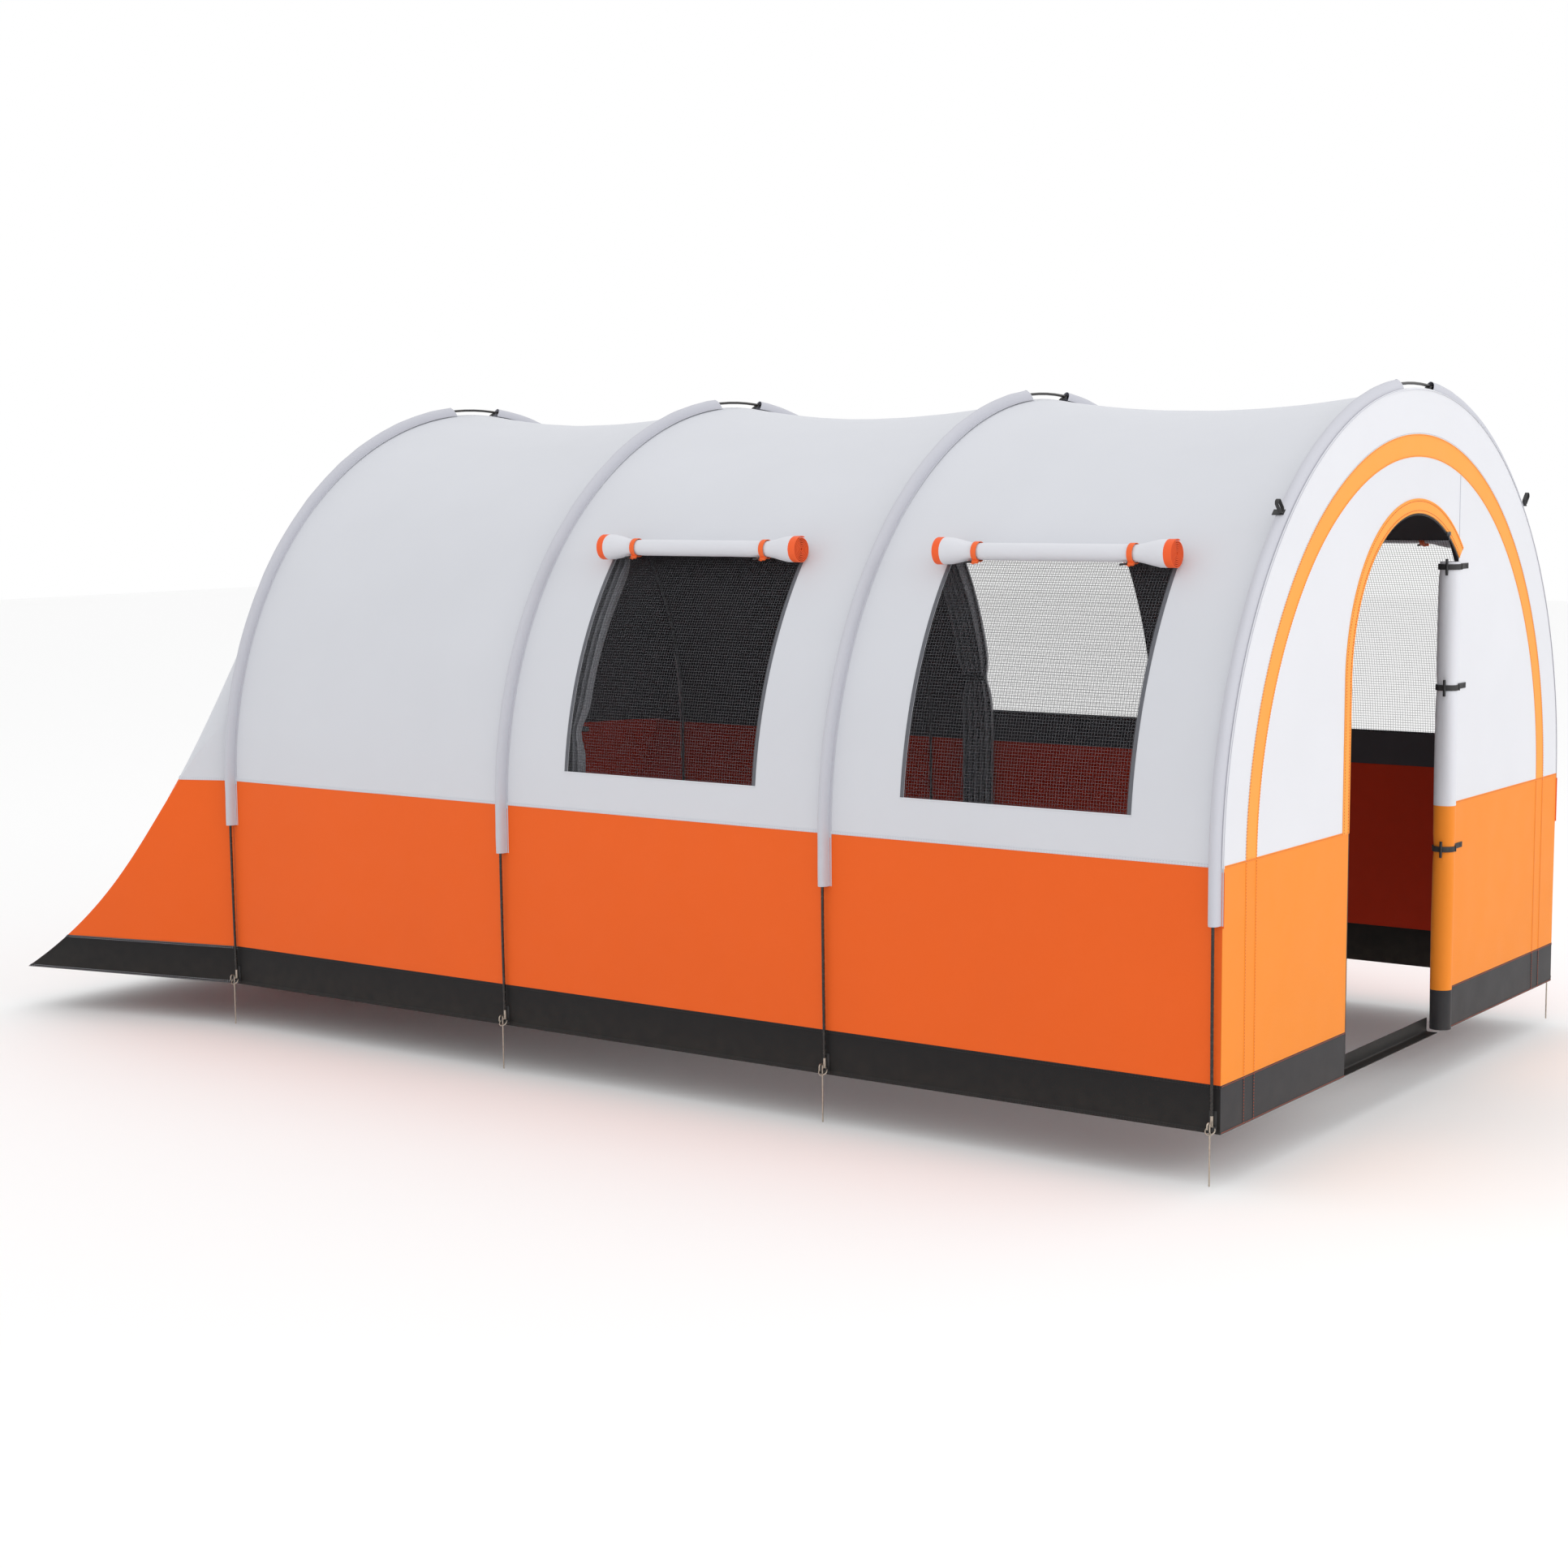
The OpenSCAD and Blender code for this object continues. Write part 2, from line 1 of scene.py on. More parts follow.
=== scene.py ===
import json
import logging
import math
from dataclasses import dataclass, field
from enum import Enum
from typing import Callable, Optional, Sequence

import bpy
import numpy as np
from mathutils import Matrix, Vector, noise

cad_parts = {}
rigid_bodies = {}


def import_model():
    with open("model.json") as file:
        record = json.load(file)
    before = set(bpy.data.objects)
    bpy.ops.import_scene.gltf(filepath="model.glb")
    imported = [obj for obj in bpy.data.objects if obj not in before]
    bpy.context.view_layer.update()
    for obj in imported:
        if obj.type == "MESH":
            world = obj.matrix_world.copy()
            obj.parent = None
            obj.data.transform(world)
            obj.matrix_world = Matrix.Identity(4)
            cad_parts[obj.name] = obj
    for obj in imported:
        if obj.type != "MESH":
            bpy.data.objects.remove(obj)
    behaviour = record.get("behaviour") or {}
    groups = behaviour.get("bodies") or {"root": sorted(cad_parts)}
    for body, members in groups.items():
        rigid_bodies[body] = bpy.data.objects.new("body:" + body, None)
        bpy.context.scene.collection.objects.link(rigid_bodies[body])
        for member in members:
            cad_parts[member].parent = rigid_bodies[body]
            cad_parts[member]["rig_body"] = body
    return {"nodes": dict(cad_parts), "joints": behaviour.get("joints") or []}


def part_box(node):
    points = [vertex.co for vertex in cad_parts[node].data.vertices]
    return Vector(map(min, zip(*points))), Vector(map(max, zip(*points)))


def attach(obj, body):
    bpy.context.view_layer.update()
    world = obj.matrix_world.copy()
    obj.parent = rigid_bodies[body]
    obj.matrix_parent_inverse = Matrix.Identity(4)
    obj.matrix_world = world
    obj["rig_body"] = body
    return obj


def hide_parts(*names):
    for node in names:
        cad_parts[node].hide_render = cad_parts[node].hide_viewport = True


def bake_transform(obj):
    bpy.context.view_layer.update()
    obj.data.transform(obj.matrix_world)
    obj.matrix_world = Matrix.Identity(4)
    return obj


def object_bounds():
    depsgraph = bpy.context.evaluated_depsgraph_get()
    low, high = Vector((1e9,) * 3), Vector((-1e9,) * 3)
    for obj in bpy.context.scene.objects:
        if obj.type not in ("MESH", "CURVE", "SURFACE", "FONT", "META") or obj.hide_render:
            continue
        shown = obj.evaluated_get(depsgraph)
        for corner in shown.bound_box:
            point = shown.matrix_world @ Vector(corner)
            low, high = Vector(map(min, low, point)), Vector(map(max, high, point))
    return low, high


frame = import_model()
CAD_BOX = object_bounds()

LOG = logging.getLogger("tunnel_tent")
MM = 0.001

Grid = list[list[Vector]]


class Side(Enum):
    """The two sides of the tent, as one faces the door from inside."""

    LEFT = "left"
    RIGHT = "right"

    @property
    def sign(self) -> int:
        """Sign of Y on this side."""
        return -1 if self is Side.LEFT else 1


# ---------------------------------------------------------------- small tools


def linear(hex_colour: str) -> tuple[float, float, float, float]:
    """Turns an sRGB hex colour into linear RGBA.

    Args:
        hex_colour: Six hex digits, such as "E8662E".

    Returns:
        Linear red, green, blue and an alpha of 1.
    """
    parts = [int(hex_colour[k : k + 2], 16) / 255 for k in (0, 2, 4)]
    low, slope, shift, power = 0.04045, 12.92, 0.055, 2.4
    turned = [c / slope if c <= low else ((c + shift) / (1 + shift)) ** power for c in parts]
    return (*turned, 1.0)


def add_node(
    tree: bpy.types.NodeTree,
    kind: str,
    settings: Optional[dict] = None,
    values: Optional[dict] = None,
    links: Optional[dict] = None,
) -> bpy.types.Node:
    """Adds one shader node.

    Args:
        tree: The material's node tree.
        kind: The node's type name.
        settings: Properties of the node itself.
        values: Constants, by input name or number.
        links: Sockets that feed its inputs, by input name or number.

    Returns:
        The new node.
    """
    node = tree.nodes.new(kind)
    for name, value in (settings or {}).items():
        setattr(node, name, value)
    for name, value in (values or {}).items():
        node.inputs[name].default_value = value
    for name, source in (links or {}).items():
        tree.links.new(source, node.inputs[name])
    return node


def new_material(name: str) -> tuple[bpy.types.Material, bpy.types.NodeTree, bpy.types.Node]:
    """Makes an empty material with a Principled shader.

    Args:
        name: What the real material is called.

    Returns:
        The material, its tree and its shader node.
    """
    material = bpy.data.materials.new(name)
    material.use_nodes = True
    tree = material.node_tree
    tree.nodes.clear()
    shader = add_node(tree, "ShaderNodeBsdfPrincipled")
    add_node(tree, "ShaderNodeOutputMaterial", links={"Surface": shader.outputs[0]})
    return material, tree, shader


def only(piece: bpy.types.Object) -> None:
    """Deselects everything, then selects one piece and makes it active."""
    bpy.ops.object.select_all(action="DESELECT")
    piece.select_set(True)
    bpy.context.view_layer.objects.active = piece


def place_down(piece: bpy.types.Object) -> None:
    """Puts a piece's place, turn and size into its mesh."""
    only(piece)
    bpy.ops.object.transform_apply(location=True, rotation=True, scale=True)


def smooth(piece: bpy.types.Object, angle_deg: float = 40.0) -> None:
    """Shades a piece smooth, with sharp edges past an angle."""
    only(piece)
    bpy.ops.object.shade_smooth_by_angle(angle=math.radians(angle_deg))


def apply_modifier(piece: bpy.types.Object, kind: str, **settings) -> None:
    """Adds a modifier to a piece and applies it.

    Args:
        piece: The piece.
        kind: The modifier's type name.
        settings: The modifier's own settings.
    """
    only(piece)
    modifier = piece.modifiers.new(kind.title(), kind)
    for name, value in settings.items():
        setattr(modifier, name, value)
    bpy.ops.object.modifier_apply(modifier=modifier.name)


def give(piece: bpy.types.Object, *materials: bpy.types.Material) -> bpy.types.Object:
    """Fills a piece's material slots, and returns the piece."""
    piece.data.materials.clear()
    for material in materials:
        piece.data.materials.append(material)
    return piece


def join(name: str, pieces: Sequence[bpy.types.Object]) -> bpy.types.Object:
    """Joins pieces into one.

    Args:
        name: Name of the joined piece.
        pieces: The pieces, each a mesh.

    Returns:
        The joined piece.
    """
    bpy.ops.object.select_all(action="DESELECT")
    for piece in pieces:
        piece.select_set(True)
    bpy.context.view_layer.objects.active = pieces[0]
    if len(pieces) > 1:
        bpy.ops.object.join()
    pieces[0].name = name
    pieces[0].data.name = name
    return pieces[0]


def evenly(low: float, high: float, count: int, marks: Sequence[float] = ()) -> list[float]:
    """Evenly spaced values, where the nearest one moves on to each mark.

    Args:
        low: First value.
        high: Last value.
        count: How many values.
        marks: Values that have to be among them.

    Returns:
        The values in order.
    """
    values = list(np.linspace(low, high, count))
    for mark in marks:
        nearest = min(range(1, count - 1), key=lambda k: abs(values[k] - mark))
        values[nearest] = mark
    return values


def unit_bump(x: float) -> float:
    """Smooth hump, 0 at both ends of 0 to 1 and 1 in the middle."""
    return math.sin(math.pi * min(max(x, 0.0), 1.0)) ** 2


# ------------------------------------------------------------------- finishes


@dataclass(frozen=True)
class CoatedCloth:
    """Coated polyester taffeta: plain weave with a film of polyurethane, which gives a soft sheen.

    The real thread is near 0.3 mm. The weave is drawn at thread_mm, coarse enough to show close up.
    """

    name: str
    colour: str
    thread_mm: float = 2.4
    roughness: float = 0.62
    weave_height_mm: float = 0.05
    crease_mm: float = 190.0
    crease_height_mm: float = 1.6
    crumple_mm: float = 26.0
    crumple_height_mm: float = 0.16
    mottle: float = 0.035
    dust: float = 0.04
    dust_height: float = 0.16
    sheen: float = 0.05
    specular: float = 0.3

    def build(self) -> bpy.types.Material:
        """Builds the material."""
        material, tree, shader = new_material(self.name)
        uv = add_node(tree, "ShaderNodeUVMap", {"uv_map": "cloth"})
        place = add_node(tree, "ShaderNodeTexCoord")
        height = add_node(tree, "ShaderNodeMath", {"operation": "ADD"}, links={
            0: self._weave(tree, uv.outputs[0]), 1: self._creases(tree, place.outputs["Object"])})
        bump = add_node(tree, "ShaderNodeBump", values={"Strength": 1.0, "Distance": 1.0},
                        links={"Height": height.outputs[0]})
        tree.links.new(bump.outputs[0], shader.inputs["Normal"])
        tree.links.new(self._colour(tree, place.outputs["Object"]), shader.inputs["Base Color"])
        rough = add_node(tree, "ShaderNodeTexNoise", values={"Scale": 1 / (90 * MM), "Detail": 3.0},
                         links={"Vector": place.outputs["Object"]})
        spread = add_node(tree, "ShaderNodeMapRange", values={
            "To Min": self.roughness - 0.07, "To Max": self.roughness + 0.07},
            links={"Value": rough.outputs[0]})
        tree.links.new(spread.outputs[0], shader.inputs["Roughness"])
        shader.inputs["Sheen Weight"].default_value = self.sheen
        shader.inputs["Sheen Roughness"].default_value = 0.45
        shader.inputs["Specular IOR Level"].default_value = self.specular
        return material

    def _weave(self, tree: bpy.types.NodeTree, uv: bpy.types.NodeSocket) -> bpy.types.NodeSocket:
        """Height in metres of threads over and under each other."""
        split = add_node(tree, "ShaderNodeSeparateXYZ", links={0: uv})
        waves = []
        for axis in (0, 1):
            turned = add_node(tree, "ShaderNodeMath", {"operation": "MULTIPLY"},
                              {1: math.tau / (self.thread_mm * MM)}, {0: split.outputs[axis]})
            waves.append(add_node(tree, "ShaderNodeMath", {"operation": "SINE"},
                                  links={0: turned.outputs[0]}).outputs[0])
        both = add_node(tree, "ShaderNodeMath", {"operation": "MULTIPLY"}, links={0: waves[0], 1: waves[1]})
        scaled = add_node(tree, "ShaderNodeMath", {"operation": "MULTIPLY"},
                          {1: self.weave_height_mm * MM}, {0: both.outputs[0]})
        return scaled.outputs[0]

    def _creases(self, tree: bpy.types.NodeTree, place: bpy.types.NodeSocket) -> bpy.types.NodeSocket:
        """Height in metres of soft packing creases and fine crumples."""
        parts = []
        for size, rise, detail in ((self.crease_mm, self.crease_height_mm, 2.0),
                                   (self.crumple_mm, self.crumple_height_mm, 4.0)):
            field_ = add_node(tree, "ShaderNodeTexNoise", values={"Scale": 1 / (size * MM), "Detail": detail},
                              links={"Vector": place})
            parts.append(add_node(tree, "ShaderNodeMath", {"operation": "MULTIPLY"}, {1: rise * MM},
                                  {0: field_.outputs[0]}).outputs[0])
        return add_node(tree, "ShaderNodeMath", {"operation": "ADD"},
                        links={0: parts[0], 1: parts[1]}).outputs[0]

    def _colour(self, tree: bpy.types.NodeTree, place: bpy.types.NodeSocket) -> bpy.types.NodeSocket:
        """Dye colour with faint mottling, and dust that fades out above the hem."""
        base = linear(self.colour)
        darker = tuple(c * (1 - 2 * self.mottle) for c in base[:3]) + (1.0,)
        blotch = add_node(tree, "ShaderNodeTexNoise", values={"Scale": 1 / (420 * MM), "Detail": 5.0},
                          links={"Vector": place})
        dyed = add_node(tree, "ShaderNodeMix", {"data_type": "RGBA"}, links={0: blotch.outputs[0]})
        dyed.inputs[6].default_value = darker
        dyed.inputs[7].default_value = base
        split = add_node(tree, "ShaderNodeSeparateXYZ", links={0: place})
        low = add_node(tree, "ShaderNodeMapRange", values={
            "From Min": 0.0, "From Max": self.dust_height, "To Min": self.dust, "To Max": 0.0},
            links={"Value": split.outputs[2]})
        speck = add_node(tree, "ShaderNodeTexNoise", values={"Scale": 1 / (35 * MM), "Detail": 6.0},
                         links={"Vector": place})
        amount = add_node(tree, "ShaderNodeMath", {"operation": "MULTIPLY"},
                          links={0: low.outputs[0], 1: speck.outputs[0]})
        dusty = add_node(tree, "ShaderNodeMix", {"data_type": "RGBA"},
                         links={0: amount.outputs[0], 6: dyed.outputs[2]})
        dusty.inputs[7].default_value = linear("B9A98F")
        return dusty.outputs[2]


@dataclass(frozen=True)
class Netting:
    """Knitted insect netting: thin dark threads with open holes, so what is behind shows through.

    The real holes are near 1.4 mm. They are drawn at pitch_mm, so that the grid shows.
    """

    name: str = "knitted insect netting"
    pitch_mm: float = 9.0
    thread_share: float = 0.16
    thread_cover: float = 0.44
    veil_cover: float = 0.03
    thread_colour: str = "55565A"
    veil_colour: str = "4A4B4C"

    def build(self) -> bpy.types.Material:
        """Builds the material."""
        material, tree, shader = new_material(self.name)
        uv = add_node(tree, "ShaderNodeUVMap", {"uv_map": "cloth"})
        split = add_node(tree, "ShaderNodeSeparateXYZ", links={0: uv.outputs[0]})
        lines = []
        for axis in (0, 1):
            cells = add_node(tree, "ShaderNodeMath", {"operation": "MULTIPLY"},
                             {1: 1 / (self.pitch_mm * MM)}, {0: split.outputs[axis]})
            part = add_node(tree, "ShaderNodeMath", {"operation": "FRACT"}, links={0: cells.outputs[0]})
            lines.append(add_node(tree, "ShaderNodeMath", {"operation": "LESS_THAN"},
                                  {1: self.thread_share}, {0: part.outputs[0]}).outputs[0])
        thread = add_node(tree, "ShaderNodeMath", {"operation": "MAXIMUM"},
                          links={0: lines[0], 1: lines[1]}).outputs[0]
        cover = add_node(tree, "ShaderNodeMapRange", values={
            "To Min": self.veil_cover, "To Max": self.thread_cover}, links={"Value": thread})
        tint = add_node(tree, "ShaderNodeMix", {"data_type": "RGBA"}, links={0: thread})
        tint.inputs[6].default_value = linear(self.veil_colour)
        tint.inputs[7].default_value = linear(self.thread_colour)
        tree.links.new(tint.outputs[2], shader.inputs["Base Color"])
        tree.links.new(cover.outputs[0], shader.inputs["Alpha"])
        shader.inputs["Roughness"].default_value = 0.8
        shader.inputs["Specular IOR Level"].default_value = 0.1
        return material


@dataclass(frozen=True)
class Ribbed:
    """Woven polypropylene webbing or bound tape: fine ribs across it and a dull gloss."""

    name: str
    colour: str
    rib_mm: float = 1.8
    rib_height_mm: float = 0.25
    roughness: float = 0.68
    wear: float = 0.12

    def build(self) -> bpy.types.Material:
        """Builds the material."""
        material, tree, shader = new_material(self.name)
        place = add_node(tree, "ShaderNodeTexCoord")
        ribs = []
        for direction in ("X", "Y", "Z"):
            ribs.append(add_node(tree, "ShaderNodeTexWave", {"bands_direction": direction},
                                 {"Scale": 1 / (self.rib_mm * MM) / math.tau, "Distortion": 0.4},
                                 {"Vector": place.outputs["Object"]}).outputs["Fac"])
        first = add_node(tree, "ShaderNodeMath", {"operation": "MULTIPLY"}, links={0: ribs[0], 1: ribs[1]})
        woven = add_node(tree, "ShaderNodeMath", {"operation": "MULTIPLY"},
                         links={0: first.outputs[0], 1: ribs[2]})
        bump = add_node(tree, "ShaderNodeBump", values={"Strength": 1.0, "Distance": self.rib_height_mm * MM},
                        links={"Height": woven.outputs[0]})
        tree.links.new(bump.outputs[0], shader.inputs["Normal"])
        rub = add_node(tree, "ShaderNodeTexNoise", values={"Scale": 1 / (14 * MM), "Detail": 4.0},
                       links={"Vector": place.outputs["Object"]})
        colour = add_node(tree, "ShaderNodeMix", {"data_type": "RGBA"}, links={0: rub.outputs[0]})
        base = linear(self.colour)
        colour.inputs[6].default_value = base
        colour.inputs[7].default_value = tuple(c + self.wear * (0.3 - 0.3 * c) for c in base[:3]) + (1.0,)
        tree.links.new(colour.outputs[2], shader.inputs["Base Color"])
        shader.inputs["Roughness"].default_value = self.roughness
        return material


@dataclass(frozen=True)
class HardFinish:
    """A hard rod, wire or casting: base colour, grain along Z and light scuffs that dull the gloss."""

    name: str
    colour: str
    scuff_colour: str
    metallic: float
    roughness: float
    grain_mm: float
    grain_height_mm: float
    scuff_mm: float = 12.0

    def build(self) -> bpy.types.Material:
        """Builds the material."""
        material, tree, shader = new_material(self.name)
        place = add_node(tree, "ShaderNodeTexCoord")
        stretch = add_node(tree, "ShaderNodeMapping", values={"Scale": (1.0, 1.0, 0.08)},
                           links={"Vector": place.outputs["Object"]})
        grain = add_node(tree, "ShaderNodeTexNoise",
                         values={"Scale": 1 / (self.grain_mm * MM), "Detail": 3.0},
                         links={"Vector": stretch.outputs[0]})
        bump = add_node(tree, "ShaderNodeBump",
                        values={"Strength": 1.0, "Distance": self.grain_height_mm * MM},
                        links={"Height": grain.outputs[0]})
        tree.links.new(bump.outputs[0], shader.inputs["Normal"])
        scuff = add_node(tree, "ShaderNodeTexNoise",
                         values={"Scale": 1 / (self.scuff_mm * MM), "Detail": 6.0},
                         links={"Vector": place.outputs["Object"]})
        worn = add_node(tree, "ShaderNodeMapRange", values={"From Min": 0.52, "From Max": 0.75},
                        links={"Value": scuff.outputs[0]})
        colour = add_node(tree, "ShaderNodeMix", {"data_type": "RGBA"}, links={0: worn.outputs[0]})
        colour.inputs[6].default_value = linear(self.colour)
        colour.inputs[7].default_value = linear(self.scuff_colour)
        tree.links.new(colour.outputs[2], shader.inputs["Base Color"])
        rough = add_node(tree, "ShaderNodeMapRange", values={
            "To Min": self.roughness, "To Max": min(self.roughness + 0.2, 1.0)},
            links={"Value": worn.outputs[0]})
        tree.links.new(rough.outputs[0], shader.inputs["Roughness"])
        shader.inputs["Metallic"].default_value = self.metallic
        return material


class Finishes:
    """Every finish of the tent, built once."""

    def __init__(self) -> None:
        """Builds the materials."""
        cloth = CoatedCloth
        self.grey = cloth("grey polyester taffeta, coated", "D3D5DB").build()
        # Painted light: a lighter copy of the grey taffeta above, standing in for the light that falls on the
        # front.
        self.painted_lit_front_grey = cloth("grey polyester taffeta, painted lighter for the lit front", "DDDEE3").build()
        self.orange = cloth("orange polyester taffeta, coated", "EC6010").build()
        # Painted light: a lighter, yellower copy of the orange taffeta above, standing in for the light that
        # falls on the front.
        self.painted_lit_front_orange = cloth("orange polyester taffeta, painted lighter for the lit front", "F18B22").build()
        self.trim = cloth("orange binding tape, folded taffeta", "F9A13F", crease_height_mm=0.2).build()
        self.sleeve = cloth("lilac grey taffeta sleeve", "C3C4CC", crease_height_mm=0.5).build()
        # Woven polyethylene ribbon: wide flat tapes with a waxy gloss.
        self.skirt = cloth("woven polyethylene skirt", "19191B", thread_mm=5.0, roughness=0.5,
                           weave_height_mm=0.12, dust=0.04, sheen=0.0, specular=0.18).build()
        # Painted light: a lighter copy of the skirt above, standing in for the light that falls on the front.
        self.painted_lit_front_skirt = cloth("woven polyethylene skirt, painted lighter for the lit front", "323235", thread_mm=5.0, roughness=0.5,
                                 weave_height_mm=0.12, dust=0.04, sheen=0.0, specular=0.18).build()
        # Painted shade: the inner faces take dark copies of the outer cloths, standing in for the shade inside
        # the tent.
        self.painted_shade_inside_grey = cloth("inside of grey taffeta, painted shade", "454347", roughness=0.75, dust=0.0).build()
        self.painted_shade_inside_orange = cloth("inside of orange taffeta, painted shade", "C4300A", roughness=0.75, dust=0.0).build()
        self.painted_shade_inside_skirt = cloth("inside of polyethylene skirt, painted shade", "0B0B0C", roughness=0.6, dust=0.1).build()
        self.curtain = cloth("breathable grey polyester", "77787D", sheen=0.25, dust=0.0).build()
        self.roll = cloth("grey polyester taffeta, rolled", "DADBE1", crease_mm=60, dust=0.0).build()
        self.roll_end = cloth("orange hem tape, rolled", "F2602A", crease_height_mm=0.2, dust=0.0).build()
        self.tie = cloth("orange tie tape", "F0682E", crease_height_mm=0.1, dust=0.0).build()
        self.netting = Netting().build()
        self.piping = Ribbed("slate bound tape", "55575E").build()
        self.webbing = Ribbed("black polypropylene webbing", "1A1A1C").build()
        self.pale_thread = Ribbed("polyester sewing thread, pale", "B9BBC4", rib_mm=0.8).build()
        self.orange_thread = Ribbed("polyester sewing thread, orange", "C9501F", rib_mm=0.8).build()
        self.dark_thread = Ribbed("polyester sewing thread, black", "232326", rib_mm=0.8).build()
        self.zip_tape = Ribbed("black zip tape", "141416", rib_mm=1.2).build()
        # Pulled glass rod: dark resin with hair-thin fibres along it and a hard gloss.
        self.rod = HardFinish("pultruded fibreglass rod", "171412", "3A342E", 0.0, 0.24, 0.8, 0.05).build()
        # Zinc-plated steel: warm pale metal, drawn wire with fine lines along it.
        self.steel = HardFinish("zinc-plated steel wire", "B5AB9E", "8D857A", 1.0, 0.32, 0.6, 0.04).build()
        self.nylon = HardFinish("moulded black nylon", "18181A", "3C3C40", 0.0, 0.45, 1.5, 0.05).build()
        self.enamel = HardFinish("enamelled zinc slider", "1E1E20", "7C7C80", 0.3, 0.35, 1.0, 0.03).build()


# -------------------------------------------------------- the measured tent


@dataclass(frozen=True)
class TentShape:
    """Sizes of the tent in metres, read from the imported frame.

    The few that no box shows are named fields: they are the design's own values.
    """

    half_w: float
    wall_h: float
    skirt_h: float
    front_x: float
    hoops: tuple[float, ...]
    tail_l: float
    corner_y: float
    ridge_sag: float = 0.050
    sag_start_deg: float = 42.0
    crease_rise: float = 0.235
    hem_share: float = 0.7
    tail_hollow: float = 0.113
    slack_height: float = 0.005
    fold_height: float = 0.0012

    @classmethod
    def read(cls) -> "TentShape":
        """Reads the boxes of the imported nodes."""
        hoops = []
        for k in range(1, 5):
            low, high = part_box(f"hoop_pole_{k}")
            hoops.append((low.x + high.x) / 2)
        side_low, side_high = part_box("side_band_right")
        tail_low, tail_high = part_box("tail_skirt")
        return cls(
            half_w=side_high.y, wall_h=side_high.z, skirt_h=side_low.z,
            front_x=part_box("front_upper_wall")[1].x, hoops=tuple(hoops),
            tail_l=hoops[3] - tail_low.x, corner_y=tail_high.y)

    @property
    def pitch(self) -> float:
        """Distance from one hoop to the next."""
        return self.hoops[0] - self.hoops[1]

    @property
    def crease_angle(self) -> float:
        """Angle on the last hoop, in radians, at which the tail's corner crease starts."""
        return math.asin(self.crease_rise / self.half_w)

    def bay_share(self, x: float) -> float:
        """Share of the way through its bay, from 0 at one hoop to 1 at the next."""
        if x >= self.hoops[0]:
            return 0.0
        return ((self.hoops[0] - x) / self.pitch) % 1.0 if x > self.hoops[3] else 0.0

    def slack(self, x: float, along: float) -> float:
        """How far the taut cloth lies off its ideal shape, 0 at each hoop.

        Args:
            x: Place along the tent.
            along: Distance round the section.

        Returns:
            The offset outwards in metres.
        """
        share = unit_bump(self.bay_share(x))
        wide = noise.noise(Vector((x * 1.7, along * 2.1, 3.0)))
        folds = noise.noise(Vector((x * 9.0, along * 2.6, 8.0)))
        return share * (self.slack_height * wide + self.fold_height * folds)

    def roof_point(self, x: float, angle: float, lift: float = 0.0) -> Vector:
        """Point of the roof, at an angle in radians from the left wall's top."""
        start = math.sin(math.radians(self.sag_start_deg))
        rise = max(0.0, (math.sin(angle) - start) / (1 - start))
        u = self.bay_share(x)
        fall = self.ridge_sag * 4 * u * (1 - u) * rise * rise * (3 - 2 * rise)
        r = self.half_w - fall + lift + self.slack(x, angle * self.half_w)
        return Vector((x, -r * math.cos(angle), self.wall_h + r * math.sin(angle)))

    def roof_normal(self, x: float, angle: float) -> Vector:
        """Outward direction of the roof, near enough for trims."""
        step = 0.01
        along = self.roof_point(x + step, angle) - self.roof_point(x - step, angle)
        across = self.roof_point(x, angle + step) - self.roof_point(x, angle - step)
        return across.cross(along).normalized() * -1

    def wall_point(self, side: Side, x: float, z: float, lift: float = 0.0) -> Vector:
        """Point of a side wall at height z."""
        along = z - self.wall_h
        arc = along if side is Side.LEFT else math.pi * self.half_w - along
        settle = min(1.0, z / self.wall_h)
        return Vector((x, side.sign * (self.half_w + lift + self.slack(x, arc) * settle), z))


